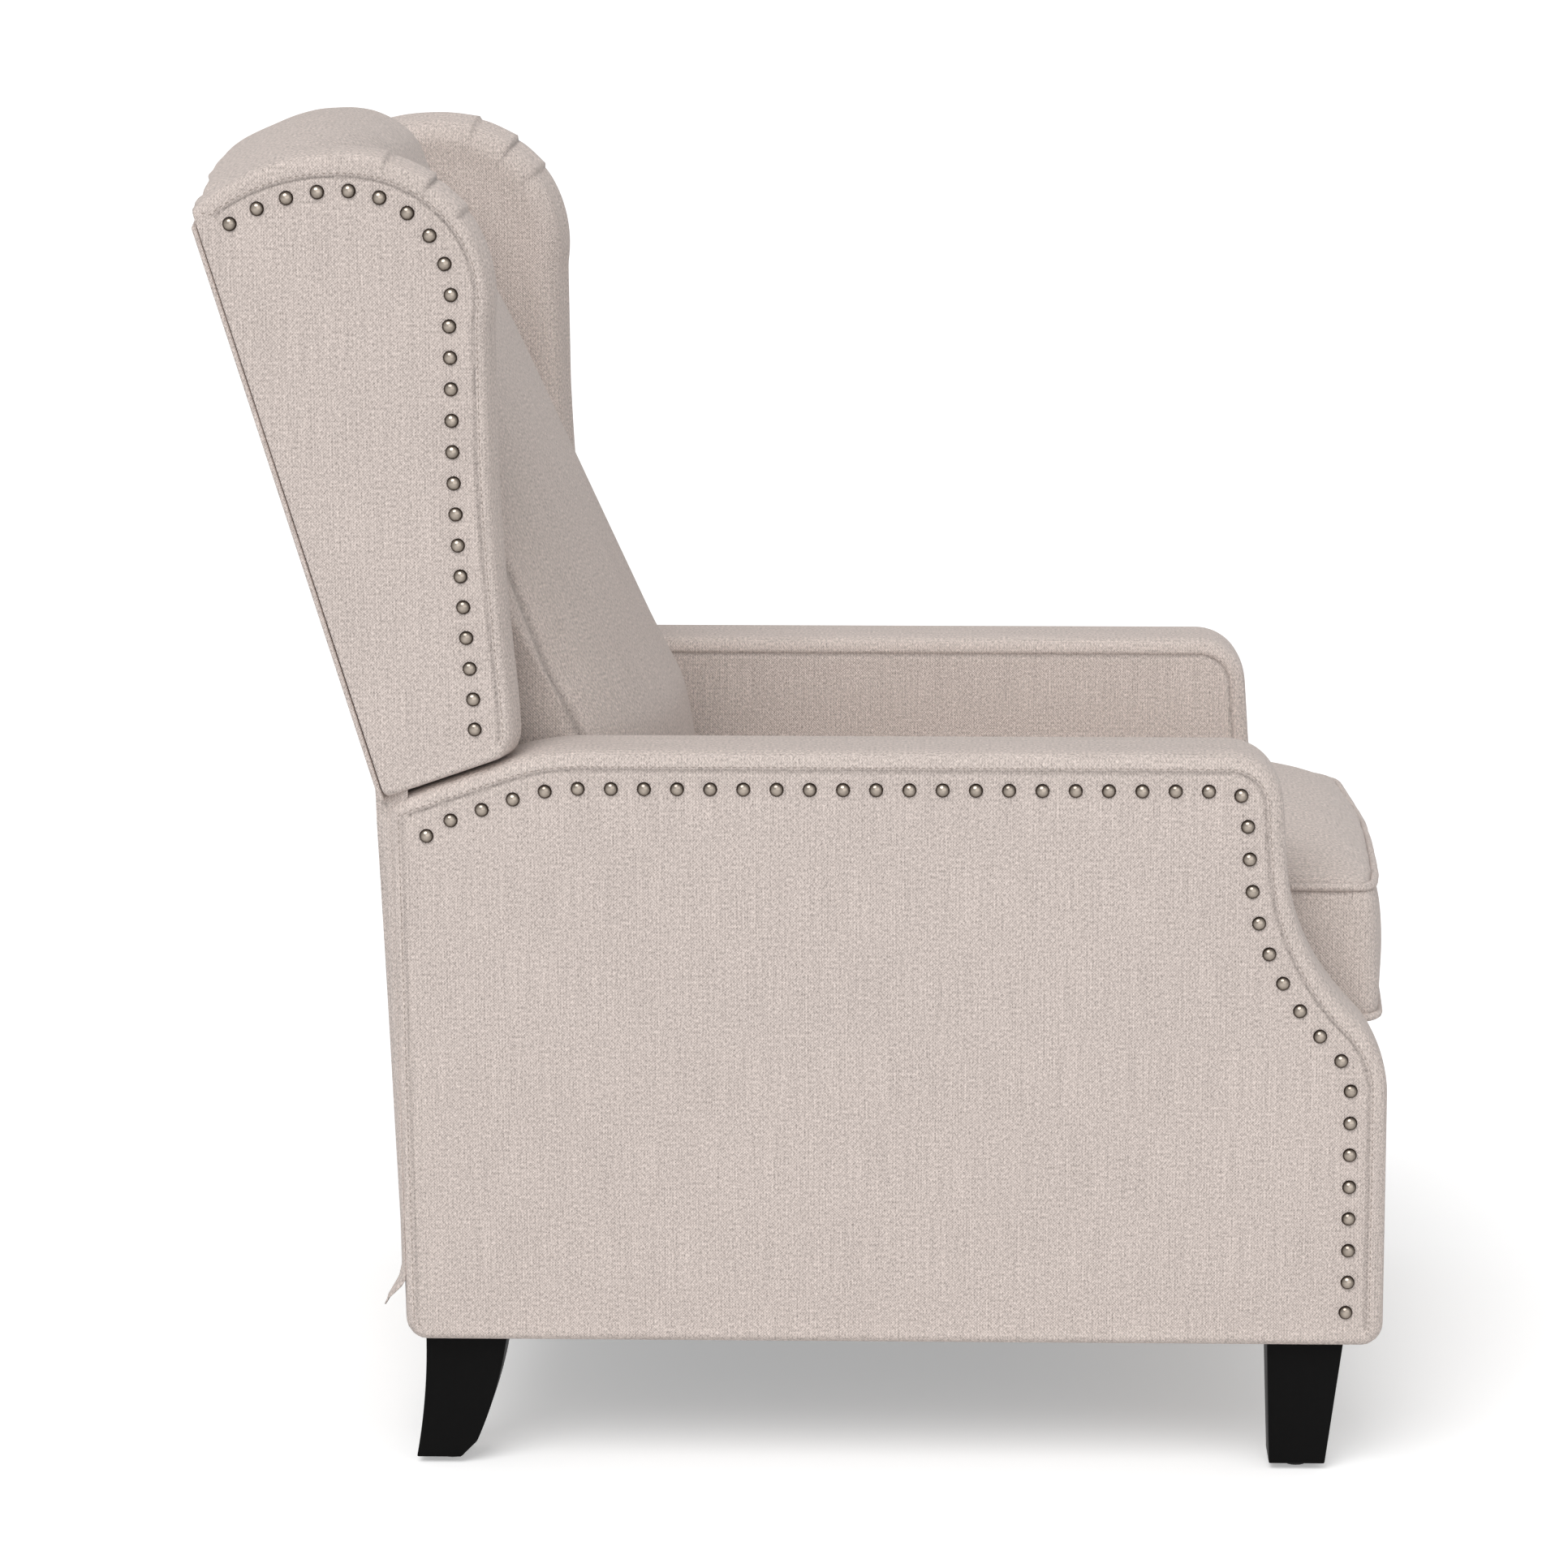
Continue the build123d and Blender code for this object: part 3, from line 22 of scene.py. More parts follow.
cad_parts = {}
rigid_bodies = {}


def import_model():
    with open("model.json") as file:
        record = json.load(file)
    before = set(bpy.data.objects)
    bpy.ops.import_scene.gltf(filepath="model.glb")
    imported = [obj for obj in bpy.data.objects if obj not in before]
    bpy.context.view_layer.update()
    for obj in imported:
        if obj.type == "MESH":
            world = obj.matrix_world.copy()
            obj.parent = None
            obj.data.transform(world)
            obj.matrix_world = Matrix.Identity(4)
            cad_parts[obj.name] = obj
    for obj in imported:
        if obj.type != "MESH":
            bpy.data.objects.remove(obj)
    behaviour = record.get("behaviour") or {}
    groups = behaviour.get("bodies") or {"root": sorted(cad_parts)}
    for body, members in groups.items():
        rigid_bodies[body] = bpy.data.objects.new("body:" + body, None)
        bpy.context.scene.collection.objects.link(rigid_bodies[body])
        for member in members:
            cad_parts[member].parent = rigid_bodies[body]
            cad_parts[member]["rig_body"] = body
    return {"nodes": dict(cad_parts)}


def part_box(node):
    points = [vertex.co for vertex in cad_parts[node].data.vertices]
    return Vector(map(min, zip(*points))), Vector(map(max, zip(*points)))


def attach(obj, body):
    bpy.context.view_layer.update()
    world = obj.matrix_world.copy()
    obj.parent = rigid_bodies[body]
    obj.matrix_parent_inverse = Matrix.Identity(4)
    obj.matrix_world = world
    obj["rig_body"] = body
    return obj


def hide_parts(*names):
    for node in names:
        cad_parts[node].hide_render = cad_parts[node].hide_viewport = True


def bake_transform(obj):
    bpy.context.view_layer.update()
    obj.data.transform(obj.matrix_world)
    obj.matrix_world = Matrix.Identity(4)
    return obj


LOG = logging.getLogger("recliner")
MM = 0.001
# Painted shade in seam grooves, pleat creases and beside the seat's piping, kept on a mesh's points.
PAINTED_SHADE = "seam_shade"
# Patina with painted shade and painted dark reflection, darkest at each nail's foot.
PATINA_AND_SHADE = "patina"
BLACK = (0.0, 0.0, 0.0)
Colour = tuple[float, float, float]
Socket = bpy.types.NodeSocket


class Slot(Enum):
    """The record's material slots."""

    LINEN = "beige_linen"
    PLYWOOD = "plywood"
    TIMBER = "frame_timber"
    NICKEL = "antique_nickel_nails"
    BLACK_WOOD = "black_wood"
    PLASTIC = "black_plastic"
    ZINC = "zinc_steel"
    BLACK_STEEL = "black_steel"
    SPRING_STEEL = "spring_steel"
    DUST_CLOTH = "dust_cloth"
    WEBBING = "webbing_cloth"


class Side(Enum):
    """The sitter's left or right, with the sign of X there."""

    LEFT = 1
    RIGHT = -1

    @property
    def tag(self) -> str:
        """The ending of node names on this side."""
        return self.name.lower()


# ---------------------------------------------------------------- materials
class Shading:
    """A material's node graph, built a node at a time."""

    def __init__(self, name: str) -> None:
        """Start an empty material with a Principled shader.

        Args:
            name: The material's name.
        """
        self.material = bpy.data.materials.new(name)
        self.material.use_nodes = True
        self.nodes = self.material.node_tree.nodes
        self.links = self.material.node_tree.links
        self.shader = self.nodes["Principled BSDF"]

    def feed(self, socket: Socket, value: Socket | float | Sequence[float]) -> None:
        """Link a socket to another, or set its value.

        Args:
            socket: The input to fill.
            value: Another node's output, or a plain value.
        """
        if isinstance(value, bpy.types.NodeSocket):
            self.links.new(value, socket)
        else:
            socket.default_value = value

    def maths(self, operation: str, first: Socket | float, second: Socket | float = 0.0) -> Socket:
        """One step of arithmetic.

        Args:
            operation: The Math node's operation.
            first: The first value.
            second: The second value, where the operation has one.

        Returns:
            The result's socket.
        """
        node = self.nodes.new("ShaderNodeMath")
        node.operation = operation
        self.feed(node.inputs[0], first)
        self.feed(node.inputs[1], second)
        return node.outputs[0]

    def times(self, first: Socket | float, second: Socket | float) -> Socket:
        """The product of two values."""
        return self.maths("MULTIPLY", first, second)

    def total(self, *parts: Socket | float) -> Socket:
        """The sum of several values.

        Args:
            parts: The values, added in this order.

        Returns:
            The sum's socket.
        """
        result = parts[0]
        for part in parts[1:]:
            result = self.maths("ADD", result, part)
        return result

    def choose(self, switch: Socket, off: Socket | float, on: Socket | float) -> Socket:
        """One of two values.

        Args:
            switch: 0 or 1.
            off: The value at 0.
            on: The value at 1.

        Returns:
            The chosen value's socket.
        """
        node = self.nodes.new("ShaderNodeMix")
        node.data_type = "FLOAT"
        self.feed(node.inputs[0], switch)
        self.feed(node.inputs[2], off)
        self.feed(node.inputs[3], on)
        return node.outputs[0]

    def tint(self, share: Socket | float, first: Colour, second: Colour) -> Socket:
        """A colour between two others, or past them.

        Args:
            share: 0 for the first colour, 1 for the second, and more for a colour past it.
            first: The first colour.
            second: The second colour.

        Returns:
            The mixed colour's socket.
        """
        node = self.nodes.new("ShaderNodeMix")
        node.data_type = "RGBA"
        node.clamp_factor = False
        self.feed(node.inputs[0], share)
        self.feed(node.inputs[6], (*first, 1.0))
        self.feed(node.inputs[7], (*second, 1.0))
        return node.outputs[2]

    def vector(self, x: Socket | float, y: Socket | float, z: Socket | float = 0.0) -> Socket:
        """A vector from three values.

        Args:
            x: The first value.
            y: The second value.
            z: The third value.

        Returns:
            The vector's socket.
        """
        node = self.nodes.new("ShaderNodeCombineXYZ")
        for socket, value in zip(node.inputs, (x, y, z)):
            self.feed(socket, value)
        return node.outputs[0]

    def split(self, vector: Socket) -> tuple[Socket, Socket, Socket]:
        """The three values of a vector.

        Args:
            vector: The vector's socket.

        Returns:
            The sockets of x, y and z.
        """
        node = self.nodes.new("ShaderNodeSeparateXYZ")
        self.links.new(vector, node.inputs[0])
        return node.outputs[0], node.outputs[1], node.outputs[2]

    def place(self, kind: str = "Object") -> Socket:
        """The surface's own coordinates, or with "Normal" its direction."""
        return self.nodes.new("ShaderNodeTexCoord").outputs[kind]

    def noise(self, where: Socket, scale: float, detail: float = 2.0, roughness: float = 0.5) -> Socket:
        """Smooth noise from 0 to 1.

        Args:
            where: The coordinates.
            scale: Features per metre.
            detail: Octaves of finer noise.
            roughness: How strong the finer noise is.

        Returns:
            The noise's socket.
        """
        node = self.nodes.new("ShaderNodeTexNoise")
        self.links.new(where, node.inputs["Vector"])
        node.inputs["Scale"].default_value = scale
        node.inputs["Detail"].default_value = detail
        node.inputs["Roughness"].default_value = roughness
        return node.outputs[0]

    def stretched_noise(self, along: tuple[float, float, float], detail: float) -> Socket:
        """Noise with its own number of features per metre on each axis.

        Args:
            along: Features per metre on X, Y and Z.
            detail: Octaves of finer noise.

        Returns:
            The noise's socket.
        """
        x, y, z = self.split(self.place())
        where = self.vector(*(self.times(axis, scale) for axis, scale in zip((x, y, z), along)))
        return self.noise(where, 1.0, detail)

    def attribute(self, name: str) -> Socket:
        """A value kept on the mesh's points.

        Args:
            name: The attribute's name.

        Returns:
            The value's socket, which gives 0 where a mesh has no such attribute.
        """
        node = self.nodes.new("ShaderNodeAttribute")
        node.attribute_name = name
        return node.outputs["Fac"]

    def bump(self, height: Socket, depth: float, strength: float = 1.0) -> None:
        """Raise the surface by a height from 0 to 1.

        Args:
            height: The height's socket.
            depth: What a height of 1 is, in metres.
            strength: How much of it shows.
        """
        node = self.nodes.new("ShaderNodeBump")
        node.inputs["Distance"].default_value = depth
        node.inputs["Strength"].default_value = strength
        self.links.new(height, node.inputs["Height"])
        self.links.new(node.outputs[0], self.shader.inputs["Normal"])

    def set(self, **values: Socket | float | Colour) -> None:
        """Set the shader's sockets.

        Args:
            values: The sockets' values by name, with _ for a space.
        """
        for name, value in values.items():
            socket = self.shader.inputs[name.replace("_", " ")]
            if isinstance(value, tuple):
                value = (*value, 1.0)
            self.feed(socket, value)


@dataclass(frozen=True)
class Linen:
    """Plain-woven linen with slubs along both threads."""

    name: str = "linen_weave"
    colour: Colour = (0.605, 0.526, 0.486)
    thread: float = 2.2 * MM
    slub_tone: float = 0.62
    grain_tone: float = 1.50
    rib_tone: float = 0.05
    weave_tone: float = 0.13
    relief: float = 0.8 * MM
    warp_slub: tuple[float, float] = (620.0, 14.0)
    weft_slub: tuple[float, float] = (40.0, 620.0)
    slub_shares: tuple[float, float] = (0.68, 0.32)
    grain: tuple[float, float] = (640.0, 430.0)
    wander: float = 70.0
    sway: tuple[float, float] = (5.0, 6.0)
    drift: float = 6.0
    drift_tone: float = 0.08
    base_drop: float = 0.04
    seam_dark: float = 0.42

    @staticmethod
    def thread_wave(shade: Shading, run: Socket, wander: Socket, turn: float, sway: float) -> Socket:
        """The rise and fall of one set of threads.

        Args:
            shade: The material in the making.
            run: The place across the threads.
            wander: Smooth noise that bends them.
            turn: Radians per metre.
            sway: How far the noise bends them, in radians.

        Returns:
            The socket of a wave from -1 to 1.
        """
        place = shade.total(shade.times(run, turn), shade.times(wander, sway))
        return shade.maths("SINE", place)

    @staticmethod
    def slub(shade: Shading, across: Socket, along: Socket, often: tuple[float, float]) -> Socket:
        """Thick and thin stretches of thread.

        Args:
            shade: The material in the making.
            across: The place across the warp.
            along: The place along the warp.
            often: Features per metre across and along.

        Returns:
            The noise's socket.
        """
        where = shade.vector(shade.times(across, often[0]), shade.times(along, often[1]))
        return shade.noise(where, 1.0, 2.0, 0.55)

    def material(self) -> bpy.types.Material:
        """The cloth: crossed threads, streaks, soft tone changes, and shade painted into seams and creases.

        Returns:
            The new material.
        """
        shade = Shading(self.name)
        x, y, z = shade.split(shade.place())
        facing = [shade.maths("ABSOLUTE", part) for part in shade.split(shade.place("Normal"))]
        sideways = shade.maths("GREATER_THAN", facing[0], shade.maths("MAXIMUM", facing[1], facing[2]))
        upwards = shade.maths("GREATER_THAN", facing[2], shade.maths("MAXIMUM", facing[0], facing[1]))
        across = shade.choose(sideways, x, y)
        along = shade.choose(upwards, z, y)
        wander = shade.noise(shade.vector(across, along), self.wander, 1.0)
        turn = 2 * math.pi / self.thread
        warp = self.thread_wave(shade, across, wander, turn, self.sway[0])
        weft = self.thread_wave(shade, along, wander, turn, self.sway[1])
        weave = shade.times(warp, weft)
        warp_slub = self.slub(shade, across, along, self.warp_slub)
        weft_slub = self.slub(shade, across, along, self.weft_slub)
        warp_share, weft_share = self.slub_shares
        slub = shade.total(shade.times(warp_slub, warp_share), shade.times(weft_slub, weft_share))
        grain = self.slub(shade, across, along, self.grain)
        drift = shade.noise(shade.vector(across, along), self.drift, 2.0)
        height = shade.total(shade.times(weave, 0.26), slub, shade.times(grain, 0.5))
        tone = shade.total(
            1.0 - 0.5 * (self.slub_tone + self.grain_tone) - self.base_drop,
            shade.times(slub, self.slub_tone),
            shade.times(grain, self.grain_tone),
            shade.times(warp, self.rib_tone),
            shade.times(weave, self.weave_tone),
            shade.times(drift, self.drift_tone),
        )
        # Painted shade: the cloth is darker where the mesh marks seam grooves, pleat creases and the seat's
        # piping.
        seam = shade.attribute(PAINTED_SHADE)
        tone = shade.times(tone, shade.maths("SUBTRACT", 1.0, shade.times(seam, self.seam_dark)))
        shade.set(
            Base_Color=shade.tint(tone, BLACK, self.colour),
            Roughness=shade.total(0.80, shade.times(slub, 0.15)),
            Specular_IOR_Level=0.22,
            Sheen_Weight=0.12,
            Sheen_Roughness=0.5,
        )
        shade.bump(height, self.relief, 0.8)
        return shade.material


@dataclass(frozen=True)
class Cloth:
    """A plain technical cloth, such as the dust cover, the flap's lining or webbing."""

    name: str
    colour: Colour
    thread: float = 1.0 * MM
    relief: float = 0.2 * MM

    def material(self) -> bpy.types.Material:
        """The cloth: a fine even weave and a little fluff.

        Returns:
            The new material.
        """
        shade = Shading(self.name)
        x, y, z = shade.split(shade.place())
        turn = 2 * math.pi / self.thread
        run = shade.maths("SINE", shade.times(x, turn))
        rise = shade.maths("SINE", shade.times(shade.total(y, z), turn))
        weave = shade.times(run, rise)
        fluff = shade.noise(shade.place(), 900.0, 3.0)
        tone = shade.total(0.78, shade.times(fluff, 0.34), shade.times(weave, 0.08))
        shade.set(
            Base_Color=shade.tint(tone, BLACK, self.colour),
            Roughness=0.95,
            Specular_IOR_Level=0.15,
            Sheen_Weight=0.1,
        )
        shade.bump(shade.total(weave, fluff), self.relief, 0.6)
        return shade.material


@dataclass(frozen=True)
class Wood:
    """Timber, plywood or lacquered wood with its grain."""

    name: str
    light: Colour
    dark: Colour
    grain: tuple[float, float, float]
    roughness: float
    gloss: float = 0.3
    coat: float = 0.0
    relief: float = 0.08 * MM

    def material(self) -> bpy.types.Material:
        """The wood: long grain lines over slow changes of tone.

        Returns:
            The new material.
        """
        shade = Shading(self.name)
        lines = shade.stretched_noise(self.grain, 4.0)
        slow = shade.noise(shade.place(), 9.0, 2.0)
        share = shade.times(shade.total(lines, shade.times(slow, 0.6)), 0.62)
        shade.set(
            Base_Color=shade.tint(share, self.dark, self.light),
            Roughness=shade.total(self.roughness - 0.05, shade.times(lines, 0.12)),
            Coat_Weight=self.coat,
            Coat_Roughness=0.3,
            Specular_IOR_Level=self.gloss,
        )
        shade.bump(lines, self.relief, 0.5)
        return shade.material


@dataclass(frozen=True)
class Metal:
    """Plated or painted steel, with blotchy wear, and on the nails patina and painted shade where their
    attribute says so.
    """

    name: str
    colour: Colour
    worn: Colour
    roughness: float
    metallic: float = 1.0
    relief: float = 0.03 * MM

    def material(self) -> bpy.types.Material:
        """The metal: fine brushing, blotches, and a darker patina with painted shade towards each nail's
        foot.

        Returns:
            The new material.
        """
        shade = Shading(self.name)
        blotch = shade.noise(shade.place(), 160.0, 3.0)
        fine = shade.noise(shade.place(), 2400.0, 2.0)
        # Blotchy wear everywhere, plus the nails' patina and painted shade from their attribute.
        wear_and_shade_share = shade.total(shade.times(blotch, 0.35), shade.attribute(PATINA_AND_SHADE))
        shade.set(
            Base_Color=shade.tint(shade.maths("MINIMUM", wear_and_shade_share, 1.0), self.colour, self.worn),
            Metallic=self.metallic,
            Roughness=shade.total(self.roughness - 0.04, shade.times(blotch, 0.10)),
        )
        shade.bump(fine, self.relief, 0.35)
        return shade.material


@dataclass(frozen=True)
class Plastic:
    """Moulded plastic with a fine texture."""

    name: str
    colour: Colour
    roughness: float = 0.5

    def material(self) -> bpy.types.Material:
        """The plastic: an even colour under spark-eroded texture.

        Returns:
            The new material.
        """
        shade = Shading(self.name)
        grain = shade.noise(shade.place(), 1800.0, 2.0)
        tone = shade.total(0.85, shade.times(grain, 0.3))
        shade.set(Base_Color=shade.tint(tone, BLACK, self.colour), Roughness=self.roughness)
        shade.bump(grain, 0.05 * MM, 0.5)
        return shade.material


FINISHES = {
    Slot.LINEN: Linen(),
    Slot.PLYWOOD: Wood("birch_plywood", (0.50, 0.34, 0.19), (0.33, 0.20, 0.10), (30.0, 30.0, 420.0), 0.6),
    Slot.TIMBER: Wood("sawn_pine", (0.56, 0.39, 0.21), (0.40, 0.25, 0.12), (40.0, 260.0, 260.0), 0.65),
    # The nails' near-black second colour is their patina and painted shade at the foot.
    Slot.NICKEL: Metal("antique_nickel", (0.52, 0.45, 0.385), (0.030, 0.021, 0.015), 0.12),
    Slot.BLACK_WOOD: Wood(
        "black_lacquer", (0.0048, 0.0046, 0.0046), (0.0026, 0.0025, 0.0025), (300.0, 300.0, 22.0), 0.40, 0.06
    ),
    Slot.PLASTIC: Plastic("black_nylon", (0.02, 0.02, 0.021)),
    Slot.ZINC: Metal("zinc_plate", (0.60, 0.60, 0.57), (0.38, 0.37, 0.33), 0.34),
    Slot.BLACK_STEEL: Metal("black_oxide_steel", (0.030, 0.030, 0.032), (0.07, 0.065, 0.06), 0.42, 0.55),
    Slot.SPRING_STEEL: Metal("spring_wire", (0.42, 0.41, 0.40), (0.20, 0.18, 0.16), 0.36),
    Slot.DUST_CLOTH: Cloth("dust_felt", (0.028, 0.028, 0.029), 1.6 * MM),
    Slot.WEBBING: Cloth("jute_webbing", (0.42, 0.33, 0.22), 2.2 * MM, 0.5 * MM),
}
LINING = Cloth("flap_lining", (0.022, 0.022, 0.023))
THREAD = Cloth("sewing_thread", (0.43, 0.36, 0.32), 0.4 * MM)


def placed(name: str, data: bpy.types.ID) -> bpy.types.Object:
    """A new object that holds some data, put in the scene.

    Args:
        name: The object's name.
        data: Its mesh, light or camera.

    Returns:
        The new object.
    """
    thing = bpy.data.objects.new(name, data)
    bpy.context.scene.collection.objects.link(thing)
    return thing


class Workshop:
    """The loaded frame, the made materials and the ways a piece is put in the scene."""

    def __init__(self) -> None:
        """Load the frame and make every finish once."""
        self.nodes: dict[str, bpy.types.Object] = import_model()["nodes"]
        self.materials = {slot: finish.material() for slot, finish in FINISHES.items()}
        self.lining = LINING.material()
        self.thread = THREAD.material()

    def add(
        self,
        name: str,
        vertices: np.ndarray,
        faces: Sequence[Sequence[int]],
        slot: Slot,
        material: bpy.types.Material | None = None,
    ) -> bpy.types.Object:
        """Make an object from points and faces, with its finish.

        Args:
            name: The piece's name.
            vertices: Its points, in the row frame.
            faces: Point numbers of each face.
            slot: The record's slot that it takes its finish from.
            material: Its material, where it isn't the slot's own.

        Returns:
            The new object.
        """
        mesh = bpy.data.meshes.new(name)
        mesh.from_pydata([tuple(v) for v in vertices], [], [list(f) for f in faces])
        mesh.materials.append(material or self.materials[slot])
        mesh.shade_smooth()
        mesh.update()
        piece = placed(name, mesh)
        return piece

    def merged(self, node: str) -> bmesh.types.BMesh:
        """A CAD node's mesh with its points joined and its flat faces whole.

        Args:
            node: The CAD node.

        Returns:
            The mesh, which the caller frees.
        """
        mesh = bmesh.new()
        mesh.from_mesh(self.nodes[node].data)
        bmesh.ops.remove_doubles(mesh, verts=mesh.verts, dist=0.02 * MM)
        bmesh.ops.dissolve_limit(mesh, angle_limit=math.radians(0.5), verts=mesh.verts, edges=mesh.edges)
        return mesh

    def reading(self, node: str, reader: Callable) -> np.ndarray | list[np.ndarray]:
        """What a function reads from a CAD node's merged mesh.

        Args:
            node: The CAD node.
            reader: The function, which takes the mesh.

        Returns:
            The function's result.
        """
        mesh = self.merged(node)
        result = reader(mesh)
        mesh.free()
        return result

    def softened(self, node: str, slot: Slot, width: float, segments: int) -> bpy.types.Object:
        """A copy of a CAD node with eased edges, which stands for it.

        Args:
            node: The CAD node.
            slot: The record's slot of its finish.
            width: How far the edges are eased.
            segments: Steps in each eased edge.

        Returns:
            The new piece, riding on the node's body.
        """
        source = self.merged(node)
        mesh = bpy.data.meshes.new(node + "_eased")
        source.to_mesh(mesh)
        source.free()
        mesh.shade_smooth()
        mesh.materials.append(self.materials[slot])
        piece = placed(node + "_eased", mesh)
        bevel = piece.modifiers.new("ease", "BEVEL")
        bevel.width = width
        bevel.segments = segments
        bevel.limit_method = "ANGLE"
        bevel.angle_limit = math.radians(18)
        bevel.harden_normals = True
        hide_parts(node)
        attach(piece, self.nodes[node]["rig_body"])
        LOG.info("%s stands for %s", piece.name, node)
        return piece

    def finish_nodes(self) -> None:
        """Give every CAD node the material of the slot that it came with."""
        for name, node in self.nodes.items():
            slot = Slot(node.data.materials[0].name.split(".")[0])
            node.data.materials.clear()
            node.data.materials.append(self.materials[slot])
            LOG.info("%s is finished in %s", name, slot.value)


def set_values(piece: bpy.types.Object, name: str, values: np.ndarray) -> None:
    """Keep a value on each point of a piece's mesh."""
    attribute = piece.data.attributes.new(name, "FLOAT", "POINT")
    attribute.data.foreach_set("value", values.astype(np.float32))


def points_of(piece: bpy.types.Object) -> np.ndarray:
    """A piece's points as an array of rows."""
    flat = np.empty(len(piece.data.vertices) * 3, np.float32)
    piece.data.vertices.foreach_get("co", flat)
    return flat.reshape(-1, 3).astype(float)


def set_points(piece: bpy.types.Object, points: np.ndarray) -> None:
    """Move a piece's points."""
    piece.data.vertices.foreach_set("co", points.astype(np.float32).ravel())
    piece.data.update()


def normals_of(piece: bpy.types.Object) -> np.ndarray:
    """The directions that a piece's points face."""
    flat = np.empty(len(piece.data.vertices) * 3, np.float32)
    piece.data.vertex_normals.foreach_get("vector", flat)
    return flat.reshape(-1, 3).astype(float)


def bell(offset: np.ndarray, width: float) -> np.ndarray:
    """1 at no offset, falling away smoothly over a width."""
    return np.exp(-((offset / width) ** 2))


def ease(value: np.ndarray | float, start: float, end: float) -> np.ndarray:
    """0 before start, 1 after end, smooth between."""
    share = np.clip((value - start) / (end - start), 0.0, 1.0)
    return share * share * (3 - 2 * share)


# ---------------------------------------------------------------- outlines
def runs(points: np.ndarray) -> np.ndarray:
    """How far along a line each of its points lies."""
    return np.concatenate([[0.0], np.cumsum(np.linalg.norm(np.diff(points, axis=0), axis=1))])


def smoothed(loop: np.ndarray, rounds: int) -> np.ndarray:
    """A closed line with its corners eased.

    Args:
        loop: Its points.
        rounds: How often each point moves towards its neighbours.

    Returns:
        The eased points.
    """
    for _ in range(rounds):
        loop = 0.5 * loop + 0.25 * (np.roll(loop, 1, 0) + np.roll(loop, -1, 0))
    return loop


def swept(points: np.ndarray) -> float:
    """Twice the area in a closed line, negative where it runs clockwise."""
    after = np.roll(points, -1, 0)
    return (points[:, 0] * after[:, 1] - after[:, 0] * points[:, 1]).sum()


def anticlockwise(points: np.ndarray) -> np.ndarray:
    """A closed line's points in anticlockwise order."""
    return points[::-1] if swept(points) < 0 else points


class Outline:
    """A closed outline in a side view, anticlockwise, as rows of (reach, height)."""

    BATCH = 1500

    def __init__(self, points: np.ndarray, spacing: float, rounding: float) -> None:
        """Even the points out and ease the corners.

        Args:
            points: The corners of the outline.
            spacing: The distance between its points.
            rounding: How far corners are eased.
        """
        fine = smoothed(self.evened(anticlockwise(points), 1.0 * MM), int(2 * (rounding / MM) ** 2))
        self.points = self.evened(fine, spacing)
        tangent = np.roll(self.points, -1, 0) - np.roll(self.points, 1, 0)
        tangent /= np.linalg.norm(tangent, axis=1)[:, None]
        self.inward = np.stack([-tangent[:, 1], tangent[:, 0]], 1)
        self.spacing = spacing

    @staticmethod
    def evened(points: np.ndarray, spacing: float) -> np.ndarray:
        """The closed line with points at an even spacing.

        Args:
            points: Its points.
            spacing: The distance between the new ones.

        Returns:
            The new points.
        """
        closed = np.vstack([points, points[:1]])
        run = runs(closed)
        stops = np.linspace(0, run[-1], max(8, round(run[-1] / spacing)), endpoint=False)
        return np.stack([np.interp(stops, run, closed[:, axis]) for axis in (0, 1)], 1)

    @staticmethod
    def grown(points: np.ndarray, distance: float) -> np.ndarray:
        """The closed line moved outwards, with its corners kept sharp.

        Args:
            points: Its points, anticlockwise.
            distance: How far each side moves.

        Returns:
            The moved points.
        """
        after = np.roll(points, -1, 0) - points
        after /= np.linalg.norm(after, axis=1)[:, None]
        out = np.stack([after[:, 1], -after[:, 0]], 1)
        before = np.roll(out, 1, 0)
        return points + distance * (out + before) / (1 + (out * before).sum(1))[:, None]

    def nearest(self, places: np.ndarray) -> tuple[np.ndarray, np.ndarray]:
        """How far places are from the outline, and where along it.

        Args:
            places: Rows of (reach, height).

        Returns:
            The distances, and the stations. A station is the number of an outline point, plus the share of
            the way from it to the next.
        """
        run = np.roll(self.points, -1, 0) - self.points
        square = (run**2).sum(1)
        distances, stations = [], []
        for start in range(0, len(places), self.BATCH):
            gap = places[start : start + self.BATCH, None, :] - self.points[None]
            share = np.clip((gap * run).sum(2) / square, 0, 1)
            squares = ((gap - share[..., None] * run) ** 2).sum(2)
            best = squares.argmin(1)
            rows = np.arange(len(best))
            distances.append(np.sqrt(squares[rows, best]))
            stations.append(best + share[rows, best])
        return np.concatenate(distances), np.concatenate(stations)

    def outward_at(self, stations: np.ndarray) -> np.ndarray:
        """The outward directions at stations of the outline."""
        return -self.inward[np.round(stations).astype(int) % len(self.points)]

    def run_from(self, stations: np.ndarray, place: Sequence[float]) -> np.ndarray:
        """How far along the outline stations lie from a place.

        Args:
            stations: The stations.
            place: Its (reach, height).

        Returns:
            The distances, negative before the place.
        """
        start = self.nearest(np.array([place]))[1][0]
        count = len(self.points)
        return ((stations - start + count / 2) % count - count / 2) * self.spacing


